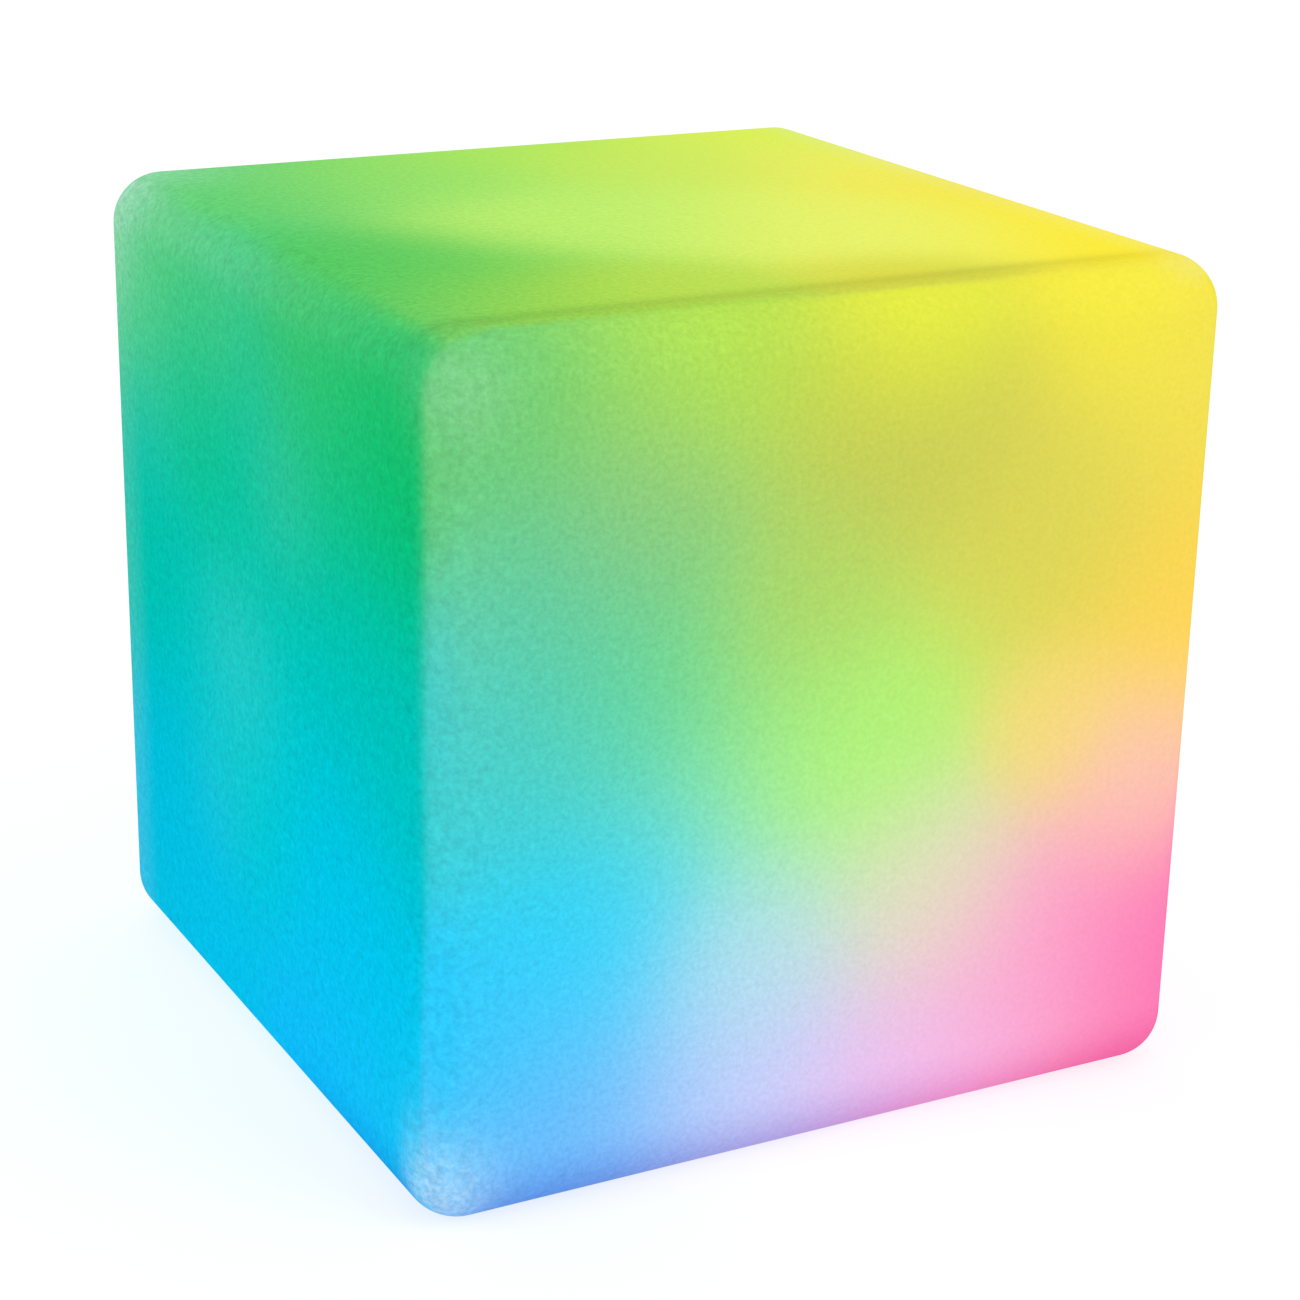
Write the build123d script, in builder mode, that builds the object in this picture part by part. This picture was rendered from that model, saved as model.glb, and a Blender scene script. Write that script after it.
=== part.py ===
from build123d import *

import os
from math import radians, sqrt, tan

# LED cube light: a hollow, rounded plastic cube, lit from inside by a sealed, rechargeable
# light module that is screwed up into a round pocket in its base.
#
# Millimetres, +Z up. The origin is on the ground, under the middle of the cube. The front
# face is on -Y. The module's sizes grow outwards from its battery: cells, boards, cup,
# flange, pocket. Its heights stack up from the seat that it is screwed to.

# ---------------------------------------------------------------- driving dimensions

# Cube shell
side = 400  # width, depth and height of the cube
edge_radius = 25  # rounding of the cube's outer edges
wall = 3  # wall of the moulded shell

# Pocket in the base
seat_height = 14  # the seat for the module's flange, above the ground
pocket_draft = 1.5  # how much wider the pocket is at the ground than at its seat
mouth_radius = 6  # rounding of the pocket's mouth
root_radius = 2  # rounding where the pocket's side meets the seat
pocket_clearance = 2  # round the module's flange
boss_rounding = 2

# Fasteners
screw_count = 6  # round the flange, and round the lens cover
m4_radius = 2.0
m4_head_radius = 4.0
m4_head_height = 2.6
m4_length = 12
m4_hole_radius = 2.25
m4_washer_radius = 4.5
m4_washer_thickness = 0.8
m3_radius = 1.5
m3_head_radius = 2.8
m3_head_height = 1.9
m3_hole_radius = 1.7
lens_screw_length = 10
led_screw_length = 6
strap_screw_radius = 1.1
strap_screw_head_radius = 2.2
strap_screw_head_height = 1.4
strap_screw_length = 5
head_side = 0.45  # straight side of a pan head, as a share of its height
cross_width = 0.32  # arm of a head's cross recess, as a share of the head's radius
cross_length = 1.1  # across the cross recess, as a share of the head's radius
cross_depth = 0.6  # as a share of the head's height
cross_taper = 12  # degrees
screw_point = 0.33  # chamfer at a screw's tip, as a share of its radius
insert_radius = 4.0  # M4 inserts in the shell
insert_length = 12
insert_bore = 10.5
small_insert_radius = 2.3  # M3 inserts in the housing's posts
small_insert_length = 5.7
hex_flats = 5.0  # standoffs, across the flats
stud_length = 5.5
lower_stud_length = 5.0

# Fits
slip = 0.3  # round a piece that moves
rest_gap = 0.2  # under a piece that moves, at rest
press_gap = 0.02  # round an insert or a barb
thread_gap = 0.05  # round a screw in its thread
part_gap = 0.1  # between pieces that are laid together

# Module housing
plate_thickness = 3  # floor and flange
cup_wall = 3.5
cup_clearance = 2  # between the cup and the opening in the shell's seat
cup_fillet = 1.5
flange_rounding = 1
gasket_thickness = 1.5
boss_radius = 8  # the shell's bosses round the M4 inserts
boss_margin = 1  # between a boss and the opening in the seat
lens_boss_radius = 4
lens_boss_inset = 3  # lens screws, inside the cup's inner wall
board_margin = 2.5  # between the control board's end and a lens screw boss
post_radius = 4  # the control board's posts
rim_lift = 0.8  # the cup's rim, above the underside of the LED board
lens_pilot_depth = 9

# Charging socket and its cover
recess_length = 26
recess_width = 14
recess_depth = 2.2
recess_skirt = 3  # thickened floor round the recess
recess_pad = 2
socket_recess_inset = 7  # socket, from the recess's inner end
recess_inner_end = 7  # from the module's middle
nose_radius = 4.1
nose_gap = 0.2
socket_bore_radius = 2.9
socket_bore_depth = 9.3
socket_body_width = 11
socket_body_height = 6.7
socket_pin_radius = 1.0
pin_recess = 2.0  # the pin's tip, behind the socket's mouth
pin_root_length = 0.75  # its head, held in the socket's end wall
pin_root_radius = 1.3
seal_thickness = 0.8
cover_thickness = 2.0
hinge_from_end = 8.6  # flap's hinge line, from the recess's outer end
hinge_gap = 0.1  # each side of the hinge line
nub_root_radius = 2.6
nub_tip_radius = 2.2
nub_length = 1.9
barb_stem_radius = 1.5
barb_radius = 2.1
barb_height = 1.6
barb_taper = 20  # degrees
barb_inset = 4  # barb, from the recess's outer end
notch_radius = 5  # finger notch at the flap's free end
notch_depth = 1.2
notch_offset = 1.5

# Power button
button_x = -24
button_radius = 6.0
button_proud = 1.8
button_flange_radius = 7.4
button_flange_thickness = 1.0
button_dish = 0.5
button_travel = 1.0
stem_radius = 2.2
guard_inner_radius = 7.6
guard_width = 1.4
guard_height = 0.6
seal_cord_radius = 0.5
switch_width = 6.2
switch_height = 4.0
small_corner = 0.5  # rounding of small moulded blocks
plunger_radius = 1.75
plunger_hole_depth = 3.0

# Indicator
indicator_x = -4
pipe_radius = 1.5
pipe_flange_radius = 2.4
pipe_flange_thickness = 0.8
indicator_led_height = 1.6
indicator_led_width = 3.0
indicator_gap = 0.6

# Boards
board_thickness = 1.6
board_corner = 6
board_edge_margin = 5  # control board, past the standoffs
lower_standoff_length = 6
led_room = 4.3  # under the LED board, over the strap

# Components on the control board
chip_width = 7
chip_height = 1.2
chip_chamfer = 0.2
transistor_size = (4.5, 2.5, 1.5)
transistor_count = 4
transistor_pitch = 8
component_row = 12  # rows of components, either side of the board's middle
capacitor_radius = 2.5
capacitor_height = 5.2
capacitor_spread = 9
capacitor_rounding = 0.4
inductor_width = 6
inductor_height = 3.5
inductor_corner = 1
inductor_well = 0.6

# Battery
cell_radius = 9.2
cell_length = 65
cell_gap = 0.2
tab_thickness = 0.2
tab_width = 8
protection_thickness = 1.2
protection_height = 10
sleeve_thickness = 0.3
pack_lift = 0.6  # pack, over the cradle's deck
deck_thickness = 1.6
deck_inset = 2.5  # the cells overhang the deck
deck_margin = 4  # deck, past the standoffs
saddle_thickness = 2
saddle_rise = 5  # how far a saddle reaches up the cells
saddle_inset = 10
saddle_reach = 0.8  # past the cells' axes, as a share of their radius
strap_thickness = 0.8
strap_width = 10
strap_foot = 7
strap_post_radius = 2.6
strap_post_length = 3

# Connectors and wires
connector_depth = 5.8
connector_height = 7.0
connector_wall = 0.5
connector_ends = 1  # header, past its outer pins
connector_floor = 1
latch_thickness = 1.2
connector_gap = 3.1  # connector, from the pack's end to its middle
connector_proud = 2.2  # plug, over its header
connector_edge = 4  # control board, past the connector's middle
wire_radius = 0.8
wire_pitch = 2.5
lead_wire_radius = 0.6
lead_wires = 5
lead_bulge = 3.5
lead_bends = 5  # a straight end of the LED lead is this part of its height
wire_rise = 4.2  # straight out of the plug
pad_run = 4.5  # straight along the pad at the pack's end
pad_spread = 4.0  # battery wires, from the middle of the protection board

# LED board
led_board_inset = 1  # from the lens cover's bore
colour_led_count = 12
white_led_count = 4
led_width = 5.0
led_height = 1.6
led_well_radius = 2.0
led_well_depth = 0.4
led_window_gap = 0.3
colour_ring_inset = 4.5
white_ring_radius = 18
receiver_width = 5.6
receiver_height = 2.4
receiver_dome_radius = 2.0
reflector_thickness = 0.5

# Lens cover
lens_flange_thickness = 2.5
lens_wall = 2
lens_rise = 16  # dome, over its flange
lens_head_margin = 1.2
ring_cord_radius = 0.6
ring_gap = 0.1

# ---------------------------------------------------------------- worked out: battery and boards

cell_y = cell_radius + cell_gap / 2
pack_radius = cell_radius + part_gap + sleeve_thickness
pack_half_width = cell_y + pack_radius
pack_end = cell_length / 2 + tab_thickness + protection_thickness
deck_half_x = cell_length / 2 - deck_inset
hex_corner = hex_flats / sqrt(3)
standoff_y = pack_half_width + part_gap + strap_thickness + hex_corner + slip
standoff_x = standoff_y  # a square of standoffs, halfway between LEDs of the outer ring
deck_half_y = standoff_y + deck_margin
connector_x = pack_end + connector_gap
board_half_x = connector_x + connector_edge
board_half_y = standoff_y + board_edge_margin

# ---------------------------------------------------------------- worked out: rings, outwards

cup_inner = board_half_x + board_margin + lens_boss_radius + lens_boss_inset
cup_outer = cup_inner + cup_wall
opening_radius = cup_outer + cup_clearance
screw_circle = opening_radius + boss_margin + boss_radius
flange_radius = screw_circle + boss_radius
pocket_radius = flange_radius + pocket_clearance
lens_circle = cup_inner - lens_boss_inset
dome_radius = lens_circle - m3_head_radius - lens_head_margin
dome_bore = dome_radius - lens_wall
led_board_radius = dome_bore - led_board_inset
colour_circle = led_board_radius - colour_ring_inset
ring_circle = cup_inner + cup_wall / 2

# ---------------------------------------------------------------- worked out: heights, upwards

plate_top = seat_height - gasket_thickness
plate_bottom = plate_top - plate_thickness
pad_top = plate_top + recess_pad
recess_top = plate_bottom + recess_depth
socket_shoulder = pad_top + seal_thickness
control_bottom = socket_shoulder + socket_body_height
control_top = control_bottom + board_thickness
deck_bottom = control_top + lower_standoff_length
deck_top = deck_bottom + deck_thickness
cell_z = deck_top + pack_lift + pack_radius
pack_top = cell_z + pack_radius
led_bottom = pack_top + part_gap + strap_thickness + led_room
led_top = led_bottom + board_thickness
rim_height = led_bottom + rim_lift
lens_flange_top = rim_height + lens_flange_thickness
header_top = control_top + connector_height
plug_top = header_top + connector_proud
button_top = plate_top + rest_gap + button_flange_thickness
switch_bottom = control_bottom - switch_height
plunger_proud = button_travel + slip
plunger_tip = switch_bottom - plunger_proud

recess_centre = recess_inner_end + recess_length / 2
recess_outer_end = recess_inner_end + recess_length
socket_x = recess_inner_end + socket_recess_inset
hinge_x = recess_outer_end - hinge_from_end
barb_x = recess_outer_end - barb_inset


# ---------------------------------------------------------------- helpers


def ring_profile(inner, outer, bottom, top):
    """Fill the rectangle between two radii and two heights of an XZ sketch."""
    with Locations(((inner + outer) / 2, (bottom + top) / 2)):
        Rectangle(outer - inner, top - bottom)


def pan_head_screw(radius, length, head_radius, head_height):
    """One pan head screw with a cross recess, its head up and its shank down from the origin."""
    with BuildPart() as screw:
        with BuildSketch(Plane.XZ):
            with BuildLine():
                Polyline(
                    (0, -length),
                    (radius * (1 - screw_point), -length),
                    (radius, -length + radius * screw_point),
                    (radius, 0),
                    (head_radius, 0),
                )
                Line((head_radius, 0), (head_radius, head_height * head_side))
                TangentArc((0, head_height), (head_radius, head_height * head_side), tangent=(1, 0))
                Line((0, head_height), (0, -length))
            make_face()
        revolve(axis=Axis.Z)
        with BuildSketch(Plane.XY.offset(head_height)):
            Rectangle(head_radius * cross_length, head_radius * cross_width)
            Rectangle(head_radius * cross_width, head_radius * cross_length)
        extrude(amount=-head_height * cross_depth, taper=cross_taper, mode=Mode.SUBTRACT)
    return screw.part


def route_radii(points):
    """The largest even arc at each corner: 0.45 of its shorter run over the half turn's tangent."""
    places = [Vector(point) for point in points]
    radii = []
    for before, corner, after in zip(places, places[1:], places[2:]):
        first = corner - before
        second = after - corner
        half_turn = first.get_angle(second) / 2
        radii.append(0.45 * min(first.length, second.length) / tan(radians(half_turn)))
    print("wire arcs", [round(radius, 1) for radius in radii])
    return radii


def wire(points, radius):
    """A round wire along straight runs joined by arcs."""
    with BuildPart() as strand:
        with BuildLine() as route:
            FilletPolyline(*points, radius=route_radii(points))
        with BuildSketch(Plane(origin=route.line @ 0, z_dir=route.line % 0)):
            Circle(radius)
        sweep()
    return strand.part


on_board = (Align.CENTER, Align.CENTER, Align.MIN)
pieces = {}


def save(name, piece):
    """Name a finished piece and write it to its own file."""
    piece.label = name
    pieces[name] = piece
    export_step(piece, f"parts/{name}.step")


# ---------------------------------------------------------------- cube shell

# The pocket's lining, seen in section: the seat, the drafted side and the bend into the base.
pocket_mouth = pocket_radius + pocket_draft
bend_end = pocket_mouth + wall + mouth_radius
lining = [
    (opening_radius, seat_height),
    (opening_radius, seat_height + wall),
    (pocket_radius + wall, seat_height + wall),
    (pocket_mouth + wall, wall),
    (bend_end, wall),
    (bend_end, 0),
    (pocket_mouth, 0),
    (pocket_radius, seat_height),
]
lining_radii = [0, 0, root_radius + wall, mouth_radius - wall, 0, 0, mouth_radius, root_radius]

with BuildPart() as cube_shell:
    Box(side, side, side, align=(Align.CENTER, Align.CENTER, Align.MIN))
    fillet(cube_shell.edges(), radius=edge_radius)
    offset(amount=-wall, mode=Mode.SUBTRACT)
    with BuildSketch():
        Circle(bend_end)
    extrude(amount=wall, mode=Mode.SUBTRACT)
    with BuildSketch(Plane.XZ):
        with BuildLine():
            FilletPolyline(*lining, radius=lining_radii, close=True)
        make_face()
    revolve(axis=Axis.Z)
    # Bosses on the seat, closed over the inserts
    with BuildSketch(Plane.XY.offset(seat_height)):
        with PolarLocations(screw_circle, screw_count):
            Circle(boss_radius)
    extrude(amount=insert_length + wall + press_gap)
    fillet(cube_shell.faces().filter_by(Plane.XY).group_by(Axis.Z)[-3].edges(), boss_rounding)
    with BuildSketch(Plane.XY.offset(seat_height)):
        with PolarLocations(screw_circle, screw_count):
            Circle(insert_radius + press_gap)
    extrude(amount=insert_length + press_gap, mode=Mode.SUBTRACT)

with BuildPart() as threaded_inserts:
    with BuildSketch(Plane.XY.offset(seat_height)):
        with PolarLocations(screw_circle, screw_count):
            Circle(insert_radius)
    extrude(amount=insert_length)
    with BuildSketch(Plane.XY.offset(seat_height)):
        with PolarLocations(screw_circle, screw_count):
            Circle(m4_radius + thread_gap)
    extrude(amount=insert_bore, mode=Mode.SUBTRACT)

# ---------------------------------------------------------------- flange seal and screws

with BuildPart() as flange_gasket:
    with BuildSketch(Plane.XY.offset(plate_top)):
        Circle(flange_radius)
        Circle(opening_radius + boss_margin, mode=Mode.SUBTRACT)
        with PolarLocations(screw_circle, screw_count):
            Circle(m4_hole_radius, mode=Mode.SUBTRACT)
    extrude(amount=gasket_thickness)

with BuildPart() as screw_washers:
    with BuildSketch(Plane.XY.offset(plate_bottom)):
        with PolarLocations(screw_circle, screw_count):
            Circle(m4_washer_radius)
            Circle(m4_hole_radius, mode=Mode.SUBTRACT)
    extrude(amount=-m4_washer_thickness)

m4_screw = pan_head_screw(m4_radius, m4_length, m4_head_radius, m4_head_height)
with BuildPart() as mounting_screws:
    with PolarLocations(screw_circle, screw_count):
        with Locations((0, 0, plate_bottom - m4_washer_thickness)):
            add(m4_screw, rotation=(180, 0, 0))

# ---------------------------------------------------------------- module housing

cup_profile = [
    (0, plate_bottom),
    (flange_radius, plate_bottom),
    (flange_radius, plate_top),
    (cup_outer, plate_top),
    (cup_outer, rim_height),
    (cup_inner, rim_height),
    (cup_inner, plate_top),
    (0, plate_top),
]
cup_radii = [0, flange_rounding, 0, cup_fillet, 0, 0, cup_fillet, 0]
standoff_places = [(x, y) for x in (-standoff_x, standoff_x) for y in (-standoff_y, standoff_y)]

with BuildPart() as module_housing:
    with BuildSketch(Plane.XZ):
        with BuildLine():
            FilletPolyline(*cup_profile, radius=cup_radii, close=True)
        make_face()
    revolve(axis=Axis.Z)
    # Bosses for the lens screws
    with BuildSketch(Plane.XY.offset(plate_top)):
        with PolarLocations(lens_circle, screw_count):
            Circle(lens_boss_radius)
    extrude(amount=rim_height - plate_top)
    # Posts for the control board, and the thickened floor over the socket's recess
    with BuildSketch(Plane.XY.offset(plate_top)):
        with Locations(standoff_places):
            Circle(post_radius)
    extrude(amount=control_bottom - plate_top)
    with BuildSketch(Plane.XY.offset(plate_top)):
        with Locations((recess_centre, 0)):
            SlotOverall(recess_length + 2 * recess_skirt, recess_width + 2 * recess_skirt)
    extrude(amount=recess_pad)
    # A low guard ring round the button
    with BuildSketch(Plane.XY.offset(plate_bottom)):
        with Locations((button_x, 0)):
            Circle(guard_inner_radius + guard_width)
            Circle(guard_inner_radius, mode=Mode.SUBTRACT)
    extrude(amount=-guard_height)
    # Recess for the socket's cover, with its finger notch
    with BuildSketch(Plane.XY.offset(plate_bottom)):
        with Locations((recess_centre, 0)):
            SlotOverall(recess_length, recess_width)
    extrude(amount=recess_depth, mode=Mode.SUBTRACT)
    with BuildSketch(Plane.XY.offset(plate_bottom)):
        with Locations((recess_inner_end - notch_offset, 0)):
            Circle(notch_radius)
    extrude(amount=notch_depth, mode=Mode.SUBTRACT)
    # Holes through the floor and the flange
    with BuildSketch(Plane.XY.offset(plate_bottom)):
        with PolarLocations(screw_circle, screw_count):
            Circle(m4_hole_radius)
        with Locations((button_x, 0)):
            Circle(button_radius + rest_gap)
        with Locations((indicator_x, 0)):
            Circle(pipe_radius + part_gap)
        with Locations((socket_x, 0)):
            Circle(nose_radius + nose_gap)
        with Locations((barb_x, 0)):
            Circle(barb_stem_radius + part_gap)
    extrude(amount=pad_top - plate_bottom, mode=Mode.SUBTRACT)
    # Groove for the button's seal, out to the seal's back
    groove_reach = 2 * seal_cord_radius + 2 * part_gap
    with BuildSketch(Plane.XZ):
        with Locations((button_x + button_radius, (plate_bottom + plate_top) / 2)):
            Rectangle(2 * groove_reach, 2 * (seal_cord_radius + part_gap))
    revolve(axis=Axis((button_x, 0, 0), (0, 0, 1)), mode=Mode.SUBTRACT)
    # Bores for the posts' inserts and the lens screws
    with BuildSketch(Plane.XY.offset(control_bottom)):
        with Locations(standoff_places):
            Circle(small_insert_radius + press_gap)
    extrude(amount=-small_insert_length - press_gap, mode=Mode.SUBTRACT)
    with BuildSketch(Plane.XY.offset(rim_height)):
        with PolarLocations(lens_circle, screw_count):
            Circle(m3_radius + thread_gap)
    extrude(amount=-lens_pilot_depth, mode=Mode.SUBTRACT)
    # Groove for the lens cover's seal
    with BuildSketch(Plane.XY.offset(rim_height)):
        Circle(ring_circle + ring_cord_radius + ring_gap)
        Circle(ring_circle - ring_cord_radius - ring_gap, mode=Mode.SUBTRACT)
    extrude(amount=-2 * (ring_cord_radius + thread_gap), mode=Mode.SUBTRACT)

with BuildPart() as boss_inserts:
    with BuildSketch(Plane.XY.offset(control_bottom)):
        with Locations(standoff_places):
            Circle(small_insert_radius)
            Circle(m3_radius + thread_gap, mode=Mode.SUBTRACT)
    extrude(amount=-small_insert_length)

# ---------------------------------------------------------------- power button

button_bottom = plate_bottom - button_proud
button_axis = Axis((button_x, 0, 0), (0, 0, 1))

with BuildPart() as power_button:
    with BuildSketch(Plane.XZ):
        with Locations((button_x, 0)):
            ring_profile(0, button_radius, button_bottom, button_top)
            ring_profile(0, button_flange_radius, plate_top + rest_gap, button_top)
            ring_profile(0, stem_radius, button_top, plunger_tip)
    revolve(axis=button_axis)
    fillet(power_button.edges().group_by(Axis.Z)[0], radius=button_dish)
    # A shallow dish for the fingertip
    dish_chord = button_radius - 2 * button_dish
    dish_radius = (dish_chord**2 + button_dish**2) / (2 * button_dish)
    with Locations((button_x, 0, button_bottom + button_dish - dish_radius)):
        Sphere(dish_radius, mode=Mode.SUBTRACT)

with BuildPart() as button_oring:
    with Locations((button_x, 0, (plate_bottom + plate_top) / 2)):
        Torus(button_radius + part_gap + seal_cord_radius, seal_cord_radius)

with BuildPart() as push_switch:
    with BuildSketch(Plane.XY.offset(switch_bottom)):
        with Locations((button_x, 0)):
            RectangleRounded(switch_width, switch_width, small_corner)
    extrude(amount=switch_height)
    with BuildSketch(Plane.XY.offset(switch_bottom)):
        with Locations((button_x, 0)):
            Circle(plunger_radius + part_gap)
    extrude(amount=plunger_hole_depth, mode=Mode.SUBTRACT)

with BuildPart() as switch_plunger:
    with BuildSketch(Plane.XY.offset(plunger_tip)):
        with Locations((button_x, 0)):
            Circle(plunger_radius)
    extrude(amount=plunger_proud + plunger_hole_depth - button_travel - slip)

# ---------------------------------------------------------------- charging socket and its cover

with BuildPart() as charging_socket:
    with BuildSketch(Plane.XY.offset(recess_top)):
        with Locations((socket_x, 0)):
            Circle(nose_radius)
    extrude(amount=socket_shoulder - recess_top)
    with BuildSketch(Plane.XY.offset(socket_shoulder)):
        with Locations((socket_x, 0)):
            RectangleRounded(socket_body_width, socket_body_width, small_corner)
    extrude(amount=socket_body_height)
    with BuildSketch(Plane.XY.offset(recess_top)):
        with Locations((socket_x, 0)):
            Circle(socket_bore_radius)
    extrude(amount=socket_bore_depth, mode=Mode.SUBTRACT)
    with BuildSketch(Plane.XY.offset(recess_top + socket_bore_depth)):
        with Locations((socket_x, 0)):
            Circle(pin_root_radius + press_gap)
    extrude(amount=pin_root_length + press_gap, mode=Mode.SUBTRACT)

with BuildPart() as socket_pin:
    with BuildSketch(Plane.XY.offset(recess_top + pin_recess)):
        with Locations((socket_x, 0)):
            Circle(socket_pin_radius)
    extrude(amount=socket_bore_depth - pin_recess)
    fillet(socket_pin.edges().group_by(Axis.Z)[0], radius=socket_pin_radius / 2)
    with BuildSketch(Plane.XY.offset(recess_top + socket_bore_depth)):
        with Locations((socket_x, 0)):
            Circle(pin_root_radius)
    extrude(amount=pin_root_length)

with BuildPart() as socket_seal:
    with BuildSketch(Plane.XY.offset(pad_top)):
        with Locations((socket_x, 0)):
            Circle(socket_body_width / 2)
            Circle(nose_radius + part_gap, mode=Mode.SUBTRACT)
    extrude(amount=seal_thickness)

cover_length = recess_length - 2 * slip
cover_width = recess_width - 2 * slip

with BuildPart() as port_cover:
    with BuildSketch(Plane.XY.offset(plate_bottom)):
        with Locations((recess_centre, 0)):
            SlotOverall(cover_length, cover_width)
        with Locations((hinge_x - hinge_gap, 0)):
            Rectangle(recess_length, recess_width, align=(Align.MIN, Align.CENTER), mode=Mode.SUBTRACT)
    extrude(amount=cover_thickness)
    with BuildSketch(Plane.XY.offset(plate_bottom + cover_thickness)) as nub_root:
        with Locations((socket_x, 0)):
            Circle(nub_root_radius)
    with BuildSketch(Plane.XY.offset(plate_bottom + cover_thickness + nub_length)) as nub_tip:
        with Locations((socket_x, 0)):
            Circle(nub_tip_radius)
    loft()

with BuildPart() as port_cover_anchor:
    with BuildSketch(Plane.XY.offset(plate_bottom)):
        with Locations((recess_centre, 0)):
            SlotOverall(cover_length, cover_width)
        with Locations((hinge_x + hinge_gap, 0)):
            Rectangle(recess_length, recess_width, align=(Align.MAX, Align.CENTER), mode=Mode.SUBTRACT)
    extrude(amount=cover_thickness + rest_gap)
    with BuildSketch(Plane.XY.offset(recess_top)):
        with Locations((barb_x, 0)):
            Circle(barb_stem_radius)
    extrude(amount=pad_top - recess_top)
    with BuildSketch(Plane.XY.offset(pad_top)):
        with Locations((barb_x, 0)):
            Circle(barb_radius)
    extrude(amount=barb_height, taper=barb_taper)

# ---------------------------------------------------------------- indicator

with BuildPart() as indicator_light_pipe:
    with BuildSketch(Plane.XY.offset(plate_bottom)):
        with Locations((indicator_x, 0)):
            Circle(pipe_radius)
    extrude(amount=control_bottom - indicator_led_height - indicator_gap - plate_bottom)
    with BuildSketch(Plane.XY.offset(plate_top)):
        with Locations((indicator_x, 0)):
            Circle(pipe_flange_radius)
    extrude(amount=pipe_flange_thickness)

with BuildPart() as indicator_led:
    with BuildSketch(Plane.XY.offset(control_bottom - indicator_led_height)):
        with Locations((indicator_x, 0)):
            Rectangle(indicator_led_width, indicator_led_width * 2 / 3)
    extrude(amount=indicator_led_height)

# ---------------------------------------------------------------- control board

with BuildPart() as control_board:
    with BuildSketch(Plane.XY.offset(control_bottom)):
        RectangleRounded(2 * board_half_x, 2 * board_half_y, board_corner)
        with Locations(standoff_places):
            Circle(m3_hole_radius, mode=Mode.SUBTRACT)
    extrude(amount=board_thickness)

with BuildPart() as controller_chip:
    with Locations((0, 0, control_top)):
        Box(chip_width, chip_width, chip_height, align=on_board)
    chamfer(controller_chip.edges().group_by(Axis.Z)[-1], chip_chamfer)

with BuildPart() as driver_transistors:
    with Locations((0, -component_row, control_top)):
        with GridLocations(transistor_pitch, 0, transistor_count, 1):
            Box(*transistor_size, align=on_board)

with BuildPart() as board_capacitors:
    with BuildSketch(Plane.XY.offset(control_top)):
        with Locations((-capacitor_spread, component_row), (capacitor_spread, component_row)):
            Circle(capacitor_radius)
    extrude(amount=capacitor_height)
    fillet(board_capacitors.edges().group_by(Axis.Z)[-1], radius=capacitor_rounding)

with BuildPart() as charge_inductor:
    with BuildSketch(Plane.XY.offset(control_top)):
        with Locations((0, component_row)):
            RectangleRounded(inductor_width, inductor_width, inductor_corner)
    extrude(amount=inductor_height)
    with BuildSketch(Plane.XY.offset(control_top + inductor_height)):
        with Locations((0, component_row)):
            Circle(inductor_width / 3)
    extrude(amount=-inductor_well, mode=Mode.SUBTRACT)


def connector(x, pins):
    """A board header at x, open at the top, and the plug in it."""
    width = wire_pitch * pins + 2 * connector_wall + connector_ends
    with BuildPart() as header:
        with BuildSketch(Plane.XY.offset(control_top)):
            with Locations((x, 0)):
                Rectangle(connector_depth, width)
        extrude(amount=connector_height)
        with BuildSketch(Plane.XY.offset(control_top + connector_floor)):
            with Locations((x, 0)):
                Rectangle(connector_depth - 2 * connector_wall, width - 2 * connector_wall)
        extrude(amount=connector_height, mode=Mode.SUBTRACT)
    shrink = 2 * (connector_wall + part_gap)
    with BuildPart() as plug:
        with BuildSketch(Plane.XY.offset(control_top + connector_floor)):
            with Locations((x, 0)):
                Rectangle(connector_depth - shrink, width - shrink)
        extrude(amount=plug_top - control_top - connector_floor)
        # A latch rib on the plug's outer side, over the header's wall
        rib_side = 1 if x > 0 else -1
        with BuildSketch(Plane.XY.offset(header_top)):
            with Locations((x + rib_side * (connector_depth - shrink) / 2, 0)):
                Rectangle(latch_thickness, width / 2)
        extrude(amount=connector_proud / 2)
    return header.part, plug.part


battery_header, battery_plug = connector(connector_x, 2)
led_header, led_plug = connector(-connector_x, lead_wires)

# ---------------------------------------------------------------- battery pack


def pack_section(growth, height):
    """The outline of both cells side by side, seen from +X and grown evenly."""
    with Locations((0, height)):
        SlotCenterToCenter(2 * cell_y, 2 * (cell_radius + growth))


with BuildPart() as battery_cells:
    with BuildSketch(Plane.YZ):
        with Locations((-cell_y, cell_z), (cell_y, cell_z)):
            Circle(cell_radius)
    extrude(amount=cell_length / 2, both=True)

strip_length = 2 * cell_y + tab_width / 2
with BuildPart() as battery_tabs:
    # One strip joins both cells at one end; each cell has its own tab at the other
    with BuildSketch(Plane.YZ.offset(-cell_length / 2 - tab_thickness)):
        with Locations((0, cell_z)):
            Rectangle(strip_length, tab_width)
    extrude(amount=tab_thickness)
    with BuildSketch(Plane.YZ.offset(cell_length / 2)):
        with Locations((-cell_y, cell_z), (cell_y, cell_z)):
            Rectangle(tab_width, tab_width)
    extrude(amount=tab_thickness)

with BuildPart() as protection_board:
    with BuildSketch(Plane.YZ.offset(cell_length / 2 + tab_thickness)):
        with Locations((0, cell_z)):
            Rectangle(strip_length + tab_width, protection_height)
    extrude(amount=protection_thickness)

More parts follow.
